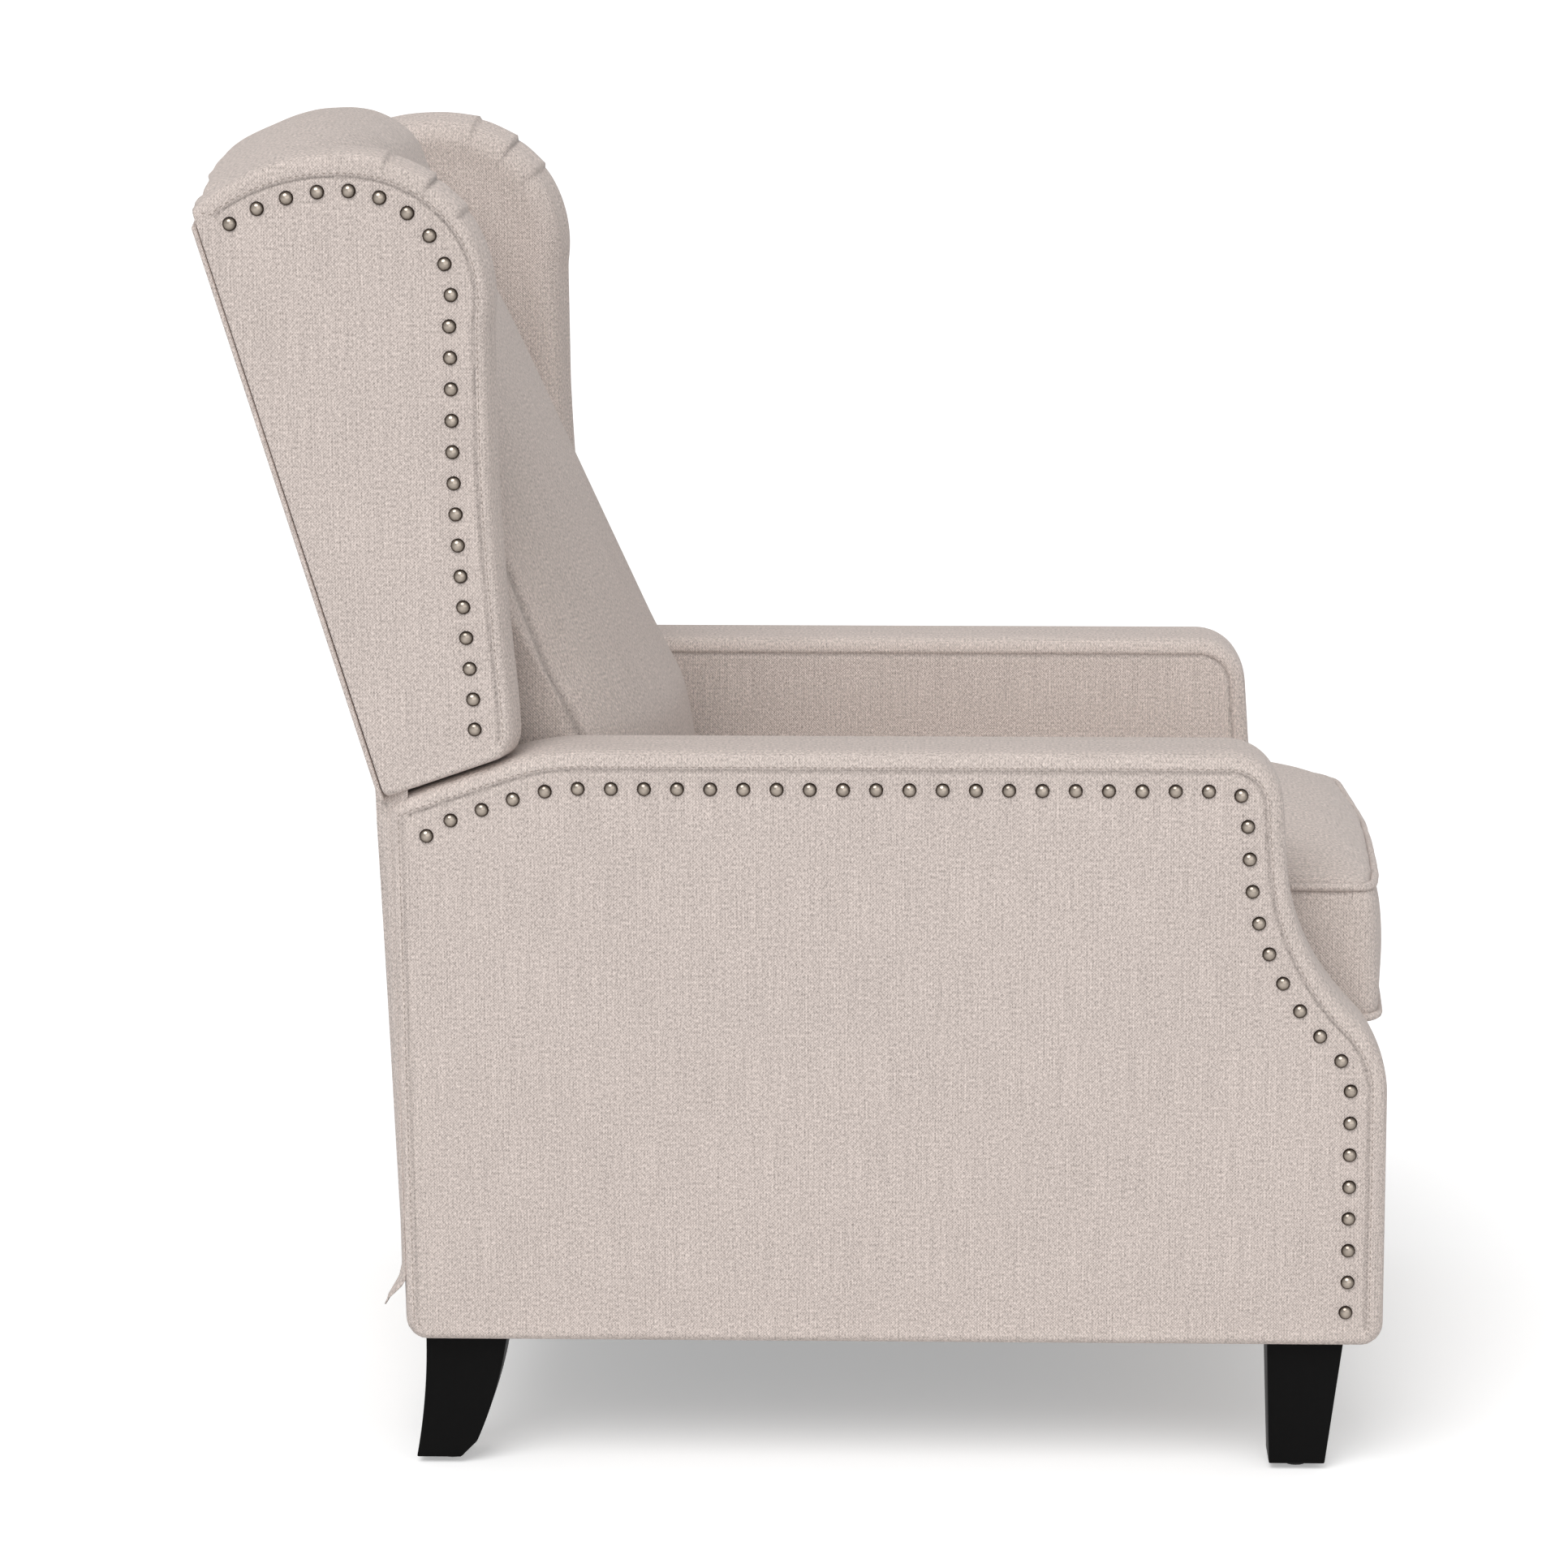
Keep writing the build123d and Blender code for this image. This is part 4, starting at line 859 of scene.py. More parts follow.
def outline_of(mesh: bmesh.types.BMesh) -> np.ndarray:
    """The largest closed outline across X in a CAD node's mesh.

    Args:
        mesh: The node's merged mesh.

    Returns:
        Rows of (reach, height).
    """
    levels: dict[float, list[bmesh.types.BMEdge]] = {}
    for edge in mesh.edges:
        first, second = edge.verts
        if abs(first.co.x - second.co.x) < 0.01 * MM and edge.calc_face_angle(0) > 0.02:
            levels.setdefault(round(first.co.x, 4), []).append(edge)
    best, most = np.zeros((0, 2)), 0.0
    for edges in levels.values():
        beside: dict[bmesh.types.BMVert, list[bmesh.types.BMVert]] = {}
        for first, second in (edge.verts for edge in edges):
            beside.setdefault(first, []).append(second)
            beside.setdefault(second, []).append(first)
        if len(edges) < 20 or any(len(ends) != 2 for ends in beside.values()):
            continue
        loop = [next(iter(beside))]
        loop.append(beside[loop[0]][0])
        while loop[-1] != loop[0]:
            loop.append(next(v for v in beside[loop[-1]] if v != loop[-2]))
        points = np.array([(v.co.y, v.co.z) for v in loop[:-1]])
        area = abs(swept(points)) / 2
        if area > most:
            best, most = points, area
    return best


@dataclass(frozen=True)
class PadFace:
    """How one face of a padded slab is shaped near its edges."""

    plane: float
    depth: float
    spread: float
    seam: float
    seam_rise: float
    seam_depth: float
    puff: float


@dataclass(frozen=True)
class Pleat:
    """A small fold that crosses the band of a slab."""

    place: tuple[float, float]
    height: float


class PaddedSlab:
    """An upholstered slab: an outer face, an inner face and the band between them."""

    GRID = 8.0 * MM
    CELL = 0.7 * MM
    SEAM_WIDTH = 1.05 * MM
    SEAM_STEPS = (-3.2, -1.6, -0.8, 0.0, 0.8, 1.6, 3.2, 6.0, 11.0)
    ROUND_STEPS = 7
    BAND_ROWS = 9
    DIMPLE_DEPTH = 1.1 * MM
    DIMPLE_WIDTH = 8.5 * MM
    DIMPLE_RINGS = (4.0 * MM, 7.0 * MM, 10.5 * MM)
    STITCH_PITCH = 5.2 * MM
    STITCH_SHAPE = (
        (-1.7, 0, -0.1), (-1.1, -0.3, 0.05), (-1.1, 0.3, 0.05), (0, 0, 0.34), (1.1, -0.3, 0.05),
        (1.1, 0.3, 0.05), (1.7, 0, -0.1), (0, -0.38, 0.0), (0, 0.38, 0.0),
    )
    STITCH_FACES = ((0, 1, 3, 2), (1, 7, 3), (2, 3, 8), (7, 4, 3), (3, 5, 8), (3, 4, 6, 5))

    def __init__(
        self, outline: Outline, faces: tuple[PadFace, PadFace], crown: float, rear: Callable, sewn: Callable
    ) -> None:
        """Keep the slab's shape.

        Args:
            outline: Its side view.
            faces: The face away from the sitter, then the one towards the sitter.
            crown: How far the band swells.
            rear: From outward directions, how much of the rounding is held back there.
            sewn: From outward directions, how plain the seam is there.
        """
        self.outline = outline
        self.faces = faces
        self.crown = crown
        self.rear = rear
        self.sewn = sewn
        self.pleats: list[Pleat] = []
        self.dimples = np.zeros((0, 2))

    def spread(self, face: PadFace, stations: np.ndarray) -> np.ndarray:
        """How far in from the outline a face is still round."""
        return face.spread * (1 - self.rear(self.outline.outward_at(stations)))

    def seam(self, face: PadFace, stations: np.ndarray) -> np.ndarray:
        """How far in from the outline a face's seam runs.

        Args:
            face: The face.
            stations: Stations of the outline.

        Returns:
            The distances there.
        """
        out = self.outline.outward_at(stations)
        held = 1 - 0.6 * self.rear(out)
        return (face.seam + face.seam_rise * np.clip(out[:, 1], 0, 1) ** 2) * held

    def sunk(self, face: PadFace, places: np.ndarray) -> tuple[np.ndarray, np.ndarray]:
        """How far a face lies behind its plane at some places, and how deep in a seam it is.

        Args:
            face: The face.
            places: Rows of (reach, height).

        Returns:
            The depths in metres, and the seam's share from 0 to 1, which is also the shade painted in the
            groove.
        """
        gap, stations = self.outline.nearest(places)
        spread = self.spread(face, stations)
        angle = np.arccos(np.clip(1 - gap / spread, 0, 1))
        round_off = face.depth * (1 - np.sin(angle))
        seam = self.seam(face, stations)
        groove = bell(gap - seam, self.SEAM_WIDTH) * self.sewn(self.outline.outward_at(stations))
        swell = face.puff * (ease(gap, seam + 1 * MM, seam + 45 * MM) + 0.35 * bell(gap - 0.6 * seam, 4 * MM))
        sunk = round_off + face.seam_depth * groove - swell
        if len(self.dimples) and face is self.faces[0]:
            nail = np.sqrt(((places[:, None] - self.dimples[None]) ** 2).sum(2).min(1))
            sunk += self.DIMPLE_DEPTH * bell(nail, self.DIMPLE_WIDTH)
        return sunk, groove * (face.seam_depth > 0)

    def spots(self, face: PadFace) -> np.ndarray:
        """Where a face has its points: in rings, round the nails, and in an even field.

        Args:
            face: The face.

        Returns:
            Rows of (reach, height), the outline's own points first.
        """
        count = len(self.outline.points)
        stations = np.arange(count, dtype=float)
        spread, seam = self.spread(face, stations), self.seam(face, stations)
        angles = np.linspace(0, math.pi / 2, self.ROUND_STEPS + 1)[1:]
        rings = [spread * (1 - math.cos(angle)) for angle in angles]
        rings += [seam + step * MM for step in self.SEAM_STEPS]
        kept = [self.outline.points]
        for ring in rings:
            places = self.outline.points + self.outline.inward * ring[:, None]
            gap, _ = self.outline.nearest(places)
            kept.append(places[(gap > ring - 0.12 * MM) & (ring > 0.25 * MM)])
        low, high = self.outline.points.min(0), self.outline.points.max(0)
        reach, height = np.meshgrid(*(np.arange(low[axis], high[axis], self.GRID) for axis in (0, 1)))
        reach[1::2] += self.GRID / 2
        field = np.stack([reach.ravel(), height.ravel()], 1)
        turns = np.linspace(0, 2 * math.pi, 10, endpoint=False)
        for radius in self.DIMPLE_RINGS:
            circle = radius * np.stack([np.cos(turns), np.sin(turns)], 1)
            if len(self.dimples) and face is self.faces[0]:
                field = np.vstack([(self.dimples[:, None] + circle[None]).reshape(-1, 2), field])
        gap, stations = self.outline.nearest(field)
        field = field[self.inside(field) & (gap > self.seam(face, stations) + 13 * MM)]
        return self.thinned(np.vstack(kept + [field]), count)

    def inside(self, places: np.ndarray) -> np.ndarray:
        """Which places lie inside the outline.

        Args:
            places: Rows of (reach, height).

        Returns:
            True for each that does.
        """
        first, second = self.outline.points, np.roll(self.outline.points, -1, 0)
        y, z = places[:, None, 0], places[:, None, 1]
        crosses = (first[:, 1] > z) != (second[:, 1] > z)
        rise = np.where(second[:, 1] == first[:, 1], 1e-12, second[:, 1] - first[:, 1])
        where = (second[:, 0] - first[:, 0]) * (z - first[:, 1]) / rise + first[:, 0]
        return (crosses & (y < where)).sum(1) % 2 == 1

    @classmethod
    def thinned(cls, places: np.ndarray, fixed: int) -> np.ndarray:
        """The places without those that nearly coincide with an earlier one.

        Args:
            places: Rows of (reach, height).
            fixed: How many of the first are kept in any case.

        Returns:
            The places kept, in order.
        """
        taken: set[tuple[int, int]] = set()
        kept = []
        for index, (y, z) in enumerate(places):
            home = (math.floor(y / cls.CELL), math.floor(z / cls.CELL))
            near = any((home[0] + i, home[1] + j) in taken for i in (-1, 0, 1) for j in (-1, 0, 1))
            if index < fixed or not near:
                kept.append(index)
                taken.add(home)
        return places[kept]

    def fold(self, stations: np.ndarray) -> tuple[np.ndarray, np.ndarray]:
        """The pleats' effect on the band.

        Args:
            stations: Stations of the outline.

        Returns:
            How far the pleats lift the band there, and how much shade is painted in their creases.
        """
        lift = np.zeros(len(stations))
        painted_crease_shade = np.zeros(len(stations))
        for pleat in self.pleats:
            run = self.outline.run_from(stations, pleat.place)
            before = np.exp(np.minimum(run, 0) / (11 * MM)) * (run <= 0)
            after = -0.5 * np.exp(-np.maximum(run, 0) / (5 * MM)) * (run > 0)
            lift += pleat.height * (before + after)
            painted_crease_shade = np.maximum(painted_crease_shade, bell(run - 0.6 * MM, 1.3 * MM))
        return lift, painted_crease_shade

    def build(self, shop: Workshop, name: str, side: Side) -> bpy.types.Object:
        """Make the slab's mesh.

        Args:
            shop: Where the piece is made.
            name: The piece's name.
            side: The side of the chair; the slab is drawn for the left.

        Returns:
            The new piece.
        """
        count = len(self.outline.points)
        points, painted_shades, faces, rims = [], [], [], []
        for number, face in enumerate(self.faces):
            spots = self.spots(face)
            loop = [(i, (i + 1) % count) for i in range(count)]
            flat, _, triangles, origins, *_ = delaunay_2d_cdt(
                [Vector(p) for p in spots], loop, [list(range(count))], 1, 1e-7, True
            )
            places = np.array([tuple(p) for p in flat])
            sunk, groove = self.sunk(face, places)
            gap, stations = self.outline.nearest(places)
            lift, painted_crease_shade = self.fold(stations)
            fade = 1 - ease(gap, 0, self.seam(face, stations) + 0.1 * MM)
            shifted = places + self.outline.outward_at(stations) * (lift * fade)[:, None]
            x = face.plane - sunk if number == 0 else face.plane + sunk
            base = sum(len(p) for p in points)
            points.append(np.column_stack([x, shifted]))
            # Painted shade along the seam groove and in the pleats' creases.
            painted_shades.append(np.maximum(groove, painted_crease_shade * fade))
            middles = np.array([places[list(triangle)].mean(0) for triangle in triangles])
            for triangle, held in zip(triangles, self.inside(middles)):
                if held:
                    faces.append([base + i for i in (triangle if number == 0 else triangle[::-1])])
            rim = [0] * count
            for index, origin in enumerate(origins):
                for source in origin:
                    if source < count:
                        rim[source] = base + index
            rims.append(rim)
        self.band(points, painted_shades, faces, rims)
        vertices, values = np.vstack(points), np.concatenate(painted_shades)
        if side is Side.RIGHT:
            vertices[:, 0] *= -1
            faces = [face[::-1] for face in faces]
        piece = shop.add(name, vertices, faces, Slot.LINEN)
        set_values(piece, PAINTED_SHADE, values)
        return piece

    def band(self, points: list, painted_shades: list, faces: list, rims: list) -> None:
        """Join the two faces by the band round the outline.

        Args:
            points: Arrays of points so far, to which the band's are added.
            painted_shades: Arrays of shade painted in seams and creases so far, likewise.
            faces: Point numbers of each face so far, likewise.
            rims: For each of the two faces, the numbers of the points on its edge.
        """
        count = len(self.outline.points)
        stations = np.arange(count, dtype=float)
        lift, painted_crease_shade = self.fold(stations)
        start = self.faces[0].plane - self.faces[0].depth
        end = self.faces[1].plane + self.faces[1].depth
        held = 1 - self.rear(-self.outline.inward)
        rows = [rims[0]]
        for row in range(1, self.BAND_ROWS + 1):
            share = row / (self.BAND_ROWS + 1)
            out = self.crown * math.sin(math.pi * share) * held + lift
            places = self.outline.points - self.outline.inward * out[:, None]
            base = sum(len(p) for p in points)
            points.append(np.column_stack([np.full(count, start + (end - start) * share), places]))
            # Painted shade in the pleats' creases across the band.
            painted_shades.append(painted_crease_shade)
            rows.append([base + i for i in range(count)])
        rows.append(rims[1])
        for upper, lower in zip(rows, rows[1:]):
            for i in range(count):
                j = (i + 1) % count
                faces.append([upper[i], lower[i], lower[j], upper[j]])

    def stitch_line(self, shop: Workshop, name: str, side: Side, inside_by: float) -> bpy.types.Object:
        """A row of small stitches beside the outer seam.

        Args:
            shop: Where the piece is made.
            name: The piece's name.
            side: The side of the chair.
            inside_by: How far the row runs from the seam, towards the edge.

        Returns:
            The new piece.
        """
        face = self.faces[0]
        stations = np.arange(len(self.outline.points), dtype=float)
        depth = self.seam(face, stations) - inside_by
        places = self.outline.points + self.outline.inward * depth[:, None]
        gap, _ = self.outline.nearest(places)
        plain = self.sewn(-self.outline.inward) > 0.4
        kept = (gap > depth - 0.2 * MM) & plain
        first = int(np.argmax(kept & ~np.roll(kept, 1)))
        places = np.roll(places, -first, 0)[np.roll(kept, -first)]
        run = runs(places)
        stops = np.arange(0.0, run[-1], self.STITCH_PITCH)
        path = np.stack([np.interp(stops, run, places[:, axis]) for axis in (0, 1)], 1)
        heading = np.gradient(path, axis=0)
        heading /= np.linalg.norm(heading, axis=1)[:, None]
        sunk, _ = self.sunk(face, path)
        vertices, faces = [], []
        for (y, z), (dy, dz), depth_here in zip(path, heading, sunk):
            centre = np.array([side.value * (face.plane - depth_here), y, z])
            ahead = np.array([0.0, dy, dz])
            wide = np.array([0.0, -dz, dy])
            out = np.array([float(side.value), 0.0, 0.0])
            base = len(vertices)
            for along, across, up in self.STITCH_SHAPE:
                vertices.append(centre + ahead * along * MM + wide * across * MM + out * up * MM)
            faces += [[base + i for i in face_points] for face_points in self.STITCH_FACES]
        return shop.add(name, np.array(vertices), faces, Slot.LINEN, shop.thread)


# ---------------------------------------------------------------- nails
def islands(mesh: bmesh.types.BMesh) -> list[np.ndarray]:
    """The separate lumps of a mesh.

    Args:
        mesh: The mesh.

    Returns:
        Each lump as rows of points.
    """
    lumps = []
    seen: set[bmesh.types.BMVert] = set()
    for start in mesh.verts:
        if start in seen:
            continue
        seen.add(start)
        lump, waiting = [], [start]
        while waiting:
            vertex = waiting.pop()
            lump.append(tuple(vertex.co))
            for edge in vertex.link_edges:
                other = edge.other_vert(vertex)
                if other not in seen:
                    seen.add(other)
                    waiting.append(other)
        lumps.append(np.array(lump))
    return lumps


@dataclass
class NailRow:
    """The dome nails of one node, each pressed into the cloth."""

    node: str
    side: Side
    height: float = 4.3 * MM
    sink: float = 0.9 * MM
    turns: int = 22

    # Share of the radius, share of the height and darkness, from the foot to the crown. The darkness is
    # patina with painted shade and painted dark reflection, darkest at the foot.
    PROFILE = (
        (1.00, -0.15, 1.0), (1.02, 0.10, 1.0), (0.99, 0.24, 0.95), (0.93, 0.42, 0.84),
        (0.82, 0.62, 0.64), (0.66, 0.80, 0.42), (0.46, 0.93, 0.22), (0.24, 1.00, 0.06),
    )
    CROWN = 1.02
    MOST_TILT = 0.07
    PATCHINESS = 0.05

    def centres(self, shop: Workshop) -> np.ndarray:
        """The middles of the nails' feet.

        Args:
            shop: Where the frame is loaded.

        Returns:
            Rows of points.
        """
        middles = np.array([(lump.min(0) + lump.max(0)) / 2 for lump in shop.reading(self.node, islands)])
        middles[:, 0] = self.side.value * np.abs(middles[:, 0]).min()
        return middles

    def build(self, shop: Workshop) -> None:
        """Make every dome of the row as one piece.

        Args:
            shop: Where the piece is made.
        """
        low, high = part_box(self.node)
        centres = self.centres(shop)
        seat = min(abs(low.x), abs(high.x))
        first = shop.reading(self.node, islands)[0]
        radius = (first[:, 1].max() - first[:, 1].min()) / 2
        rng = np.random.default_rng(len(centres))
        vertices, faces, patina = [], [], []
        for centre in centres:
            tilt_y, tilt_z = rng.uniform(-self.MOST_TILT, self.MOST_TILT, 2)
            base = len(vertices)
            # Each ring's darkness is patina with painted shade and dark reflection, darkest at the foot, plus
            # random patchiness.
            for share, rise, dark in self.PROFILE:
                for step in range(self.turns):
                    angle = 2 * math.pi * step / self.turns
                    y, z = radius * share * math.cos(angle), radius * share * math.sin(angle)
                    x = seat - self.sink + rise * self.height + y * tilt_y + z * tilt_z
                    vertices.append((self.side.value * x, centre[1] + y, centre[2] + z))
                    patina.append(dark + rng.uniform(-self.PATCHINESS, self.PATCHINESS))
            crown = seat - self.sink + self.CROWN * self.height
            vertices.append((self.side.value * crown, centre[1], centre[2]))
            patina.append(0.0)
            top = len(vertices) - 1
            for ring in range(len(self.PROFILE) - 1):
                for step in range(self.turns):
                    after = (step + 1) % self.turns
                    lower, upper = base + ring * self.turns, base + (ring + 1) * self.turns
                    faces.append([lower + step, lower + after, upper + after, upper + step])
            last = base + (len(self.PROFILE) - 1) * self.turns
            faces += [[last + step, last + (step + 1) % self.turns, top] for step in range(self.turns)]
        if self.side is Side.RIGHT:
            faces = [face[::-1] for face in faces]
        piece = shop.add(self.node + "_domes", np.array(vertices), faces, Slot.NICKEL)
        set_values(piece, PATINA_AND_SHADE, np.clip(np.array(patina), 0, 1))
        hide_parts(self.node)
        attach(piece, shop.nodes[self.node]["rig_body"])
        LOG.info("%s has %d nails", piece.name, len(centres))


# ---------------------------------------------------------------- arms and wings
@dataclass
class ArmUpholstery:
    """The padded, nail-trimmed arms with their seamed edge bands."""

    spacing: float = 4.0 * MM
    rounding: float = 1.5 * MM
    face: PadFace = PadFace(0.0, 12.0 * MM, 12.5 * MM, 14.5 * MM, 0.0, 1.5 * MM, 1.2 * MM)
    crown: float = 0.8 * MM
    stitch_inset: float = 2.9 * MM

    def build(self, shop: Workshop) -> None:
        """Make both arms, their stitches and their nails.

        Args:
            shop: Where the pieces are made.
        """
        outline = Outline(shop.reading("arm_cover_left", outline_of), self.spacing, self.rounding)
        low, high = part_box("arm_cover_left")
        outer = replace(self.face, plane=high.x)
        inner = replace(self.face, plane=low.x)
        for side in Side:
            nails = NailRow(f"arm_nails_{side.tag}", side)
            slab = PaddedSlab(outline, (outer, inner), self.crown, self.below, self.sewn)
            slab.dimples = nails.centres(shop)[:, 1:]
            arm = slab.build(shop, f"arm_upholstery_{side.tag}", side)
            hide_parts(f"arm_cover_{side.tag}")
            stitches = slab.stitch_line(shop, f"arm_stitches_{side.tag}", side, self.stitch_inset)
            for piece in (arm, stitches):
                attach(piece, "base")
            nails.build(shop)
            LOG.info("%s has %d points", arm.name, len(arm.data.vertices))

    @staticmethod
    def below(outward: np.ndarray) -> np.ndarray:
        """How much the rounding is held back: a little under the arm and at its rear edge."""
        return 0.35 * ease(-outward[:, 1], 0.7, 0.95) + 0.45 * ease(outward[:, 0], 0.8, 0.97)

    @staticmethod
    def sewn(outward: np.ndarray) -> np.ndarray:
        """How plain the seam is: not at all along the bottom, and faint down the rear."""
        return (1 - ease(-outward[:, 1], 0.45, 0.8)) * (1 - 0.5 * ease(outward[:, 0], 0.8, 0.97))


@dataclass
class WingUpholstery:
    """The padded wings with pleats where the band turns down at the top."""

    spacing: float = 3.0 * MM
    rounding: float = 3.5 * MM
    margin: float = 20.3 * MM
    crown: float = 3.5 * MM
    rear_reach: float = 1.0 * MM
    inner_plane: float = 0.278
    outer: PadFace = PadFace(0.0, 10.0 * MM, 9.0 * MM, 11.0 * MM, 7.5 * MM, 1.5 * MM, 1.3 * MM)
    inner: PadFace = PadFace(0.0, 24.0 * MM, 22.0 * MM, 34.0 * MM, 0.0, 0.0, 3.0 * MM)
    stitch_inset: float = 2.9 * MM
    most_held: float = 0.94
    pad_foot: float = 0.585
    pad_rows: int = 24
    pad_setback: float = 0.026
    pad_half: float = 15.0 * MM
    pad_edge: float = 5.0 * MM
    post_depth: float = 0.04
    pleats: tuple[Pleat, ...] = (
        Pleat((0.3007, 1.032), 2.0 * MM),
        Pleat((0.2660, 1.014), 2.6 * MM),
        Pleat((0.2540, 0.983), 2.0 * MM),
    )

    def build(self, shop: Workshop) -> None:
        """Make both wings, their stitches, nails and rear pads.

        Args:
            shop: Where the pieces are made.
        """
        corners = anticlockwise(shop.reading("wing_board_left", outline_of))
        outline = Outline(Outline.grown(corners, self.margin), self.spacing, self.rounding)
        outline.points[:, 0] += self.rear_reach * ease(-outline.inward[:, 0], 0.8, 0.94)
        outer = replace(self.outer, plane=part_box("wing_cover_left")[1].x)
        inner = replace(self.inner, plane=self.inner_plane)
        for side in Side:
            nails = NailRow(f"wing_nails_{side.tag}", side)
            slab = PaddedSlab(outline, (outer, inner), self.crown, self.behind, self.sewn)
            slab.pleats = list(self.pleats)
            slab.dimples = nails.centres(shop)[:, 1:]
            wing = slab.build(shop, f"wing_upholstery_{side.tag}", side)
            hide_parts(f"wing_cover_{side.tag}")
            stitches = slab.stitch_line(shop, f"wing_stitches_{side.tag}", side, self.stitch_inset)
            for piece in (wing, stitches, self.rear_pad(shop, side)):
                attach(piece, "back")
            nails.build(shop)
            LOG.info("%s has %d points", wing.name, len(wing.data.vertices))

    def behind(self, outward: np.ndarray) -> np.ndarray:
        """How much the rounding is held back: most at the rear edge and under the foot.

        Args:
            outward: Outward directions on the outline.

        Returns:
            The shares held back there.
        """
        rear = 0.93 * ease(outward[:, 0], 0.75, 0.95)
        foot = 0.55 * ease(-outward[:, 1], 0.5, 0.9)
        return np.clip(rear + foot, 0, self.most_held)

    @staticmethod
    def sewn(outward: np.ndarray) -> np.ndarray:
        """How plain the seam is: it runs over the top and down the front only."""
        return (1 - ease(-outward[:, 1], 0.3, 0.7)) * (1 - ease(outward[:, 0], 0.7, 0.9))

    def rear_pad(self, shop: Workshop, side: Side) -> bpy.types.Object:
        """The narrow pad between a wing and its back post.

        Args:
            shop: Where the piece is made.
            side: The side of the chair.

        Returns:
            The new piece.
        """
        post_low, post_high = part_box("back_post_left")
        section = self.pad_section(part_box("wing_cover_left")[0].x)
        lean = (post_high.y - post_low.y - self.post_depth) / (post_high.z - post_low.z)
        rows = np.linspace(self.pad_foot, post_high.z - 6 * MM, self.pad_rows)
        vertices, faces = [], []
        for z in rows:
            middle = post_low.y + self.pad_setback + lean * (z - post_low.z)
            for x, y in section:
                vertices.append((side.value * x, middle + y, z))
        size = len(section)
        for row in range(len(rows) - 1):
            for i in range(size):
                j = (i + 1) % size
                quad = [row * size + i, row * size + j, (row + 1) * size + j, (row + 1) * size + i]
                faces.append(quad if side is Side.LEFT else quad[::-1])
        top = list(range((len(rows) - 1) * size, len(rows) * size))
        foot = list(range(size))[::-1]
        faces += [top, foot] if side is Side.LEFT else [top[::-1], foot[::-1]]
        return shop.add(f"wing_rear_pad_{side.tag}", np.array(vertices), faces, Slot.LINEN)

    def pad_section(self, inner: float) -> list[tuple[float, float]]:
        """The rear pad's section across the chair.

        Args:
            inner: X of the wing cover's face towards the sitter.

        Returns:
            Points (x, reach from the pad's middle).
        """
        half, edge = self.pad_half, self.pad_edge
        outer = self.inner_plane + 4 * MM
        low = inner + 0.5 * MM
        corner = 1.5 * MM
        return [
            (outer, -half), (outer, half), (low + edge, half), (low + corner, half - corner),
            (low, half - edge), (low, -half + edge), (low + corner, -half + corner), (low + edge, -half),
        ]


# ---------------------------------------------------------------- cushions
@dataclass
class Stuffing:
    """How a cushion is blown up from its CAD form.

    The form is drawn in by shrink and swells under pressure, to no further than most from where it was.
    """

    voxel: float
    shrink: float
    most: float
    smoothing: int
    pressure: float = 4.0
    frames: int = 20
    stretch: float = 20.0
    shear: float = 8.0
    bending: float = 1.5

    def swell(self, shop: Workshop, node: str, name: str, shape: Callable | None = None) -> bpy.types.Object:
        """Make a cushion by cloth simulation from a CAD node.

        Args:
            shop: Where the piece is made.
            node: The CAD node of the cushion.
            name: The new piece's name.
            shape: What the points are moved to before the swelling, from the points and their directions.

        Returns:
            The swollen piece, with its simulation applied.
        """
        source = shop.merged(node)
        mesh = bpy.data.meshes.new(name)
        source.to_mesh(mesh)
        source.free()
        piece = placed(name, mesh)
        self.apply(piece, "REMESH", mode="VOXEL", voxel_size=self.voxel, use_smooth_shade=True)
        self.apply(piece, "SMOOTH", factor=0.5, iterations=self.smoothing)
        if shape is not None:
            set_points(piece, shape(points_of(piece), normals_of(piece)))
        start = points_of(piece)
        set_points(piece, start - normals_of(piece) * self.shrink)
        self.simulate(piece)
        moved = points_of(piece) - start
        length = np.linalg.norm(moved, axis=1)
        held = np.minimum(length, self.most) / np.maximum(length, 1e-9)
        set_points(piece, start + moved * held[:, None])
        self.apply(piece, "SMOOTH", factor=0.5, iterations=3)
        self.apply(piece, "SUBSURF", levels=1, render_levels=1)
        piece.data.shade_smooth()
        piece.data.materials.clear()
        piece.data.materials.append(shop.materials[Slot.LINEN])
        return piece

    def simulate(self, piece: bpy.types.Object) -> None:
        """Run the cloth simulation and apply it.

        Args:
            piece: The cushion.
        """
        cloth = piece.modifiers.new("stuffing", "CLOTH")
        settings = cloth.settings
        settings.quality = 4
        settings.use_pressure = True
        settings.uniform_pressure_force = self.pressure
        settings.effector_weights.gravity = 0.0
        settings.tension_stiffness = self.stretch
        settings.compression_stiffness = self.stretch
        settings.shear_stiffness = self.shear
        settings.bending_stiffness = self.bending
        cloth.collision_settings.use_collision = False
        cloth.point_cache.frame_start = 1
        cloth.point_cache.frame_end = self.frames
        scene = bpy.context.scene
        for frame in range(1, self.frames + 1):
            scene.frame_set(frame)
        self.settle(piece)
        scene.frame_set(1)

    def apply(self, piece: bpy.types.Object, kind: str, **settings: object) -> None:
        """Add a modifier to a piece and apply it at once.

        Args:
            piece: The piece.
            kind: The modifier's type.
            settings: The modifier's settings by name.
        """
        modifier = piece.modifiers.new(kind.lower(), kind)
        for name, value in settings.items():
            setattr(modifier, name, value)
        self.settle(piece)

    @staticmethod
    def settle(piece: bpy.types.Object) -> None:
        """Make a piece's modifiers its mesh.

        Args:
            piece: The piece.
        """
        graph = bpy.context.evaluated_depsgraph_get()
        mesh = bpy.data.meshes.new_from_object(piece.evaluated_get(graph))
        old = piece.data
        piece.modifiers.clear()
        piece.data = mesh
        bpy.data.meshes.remove(old)


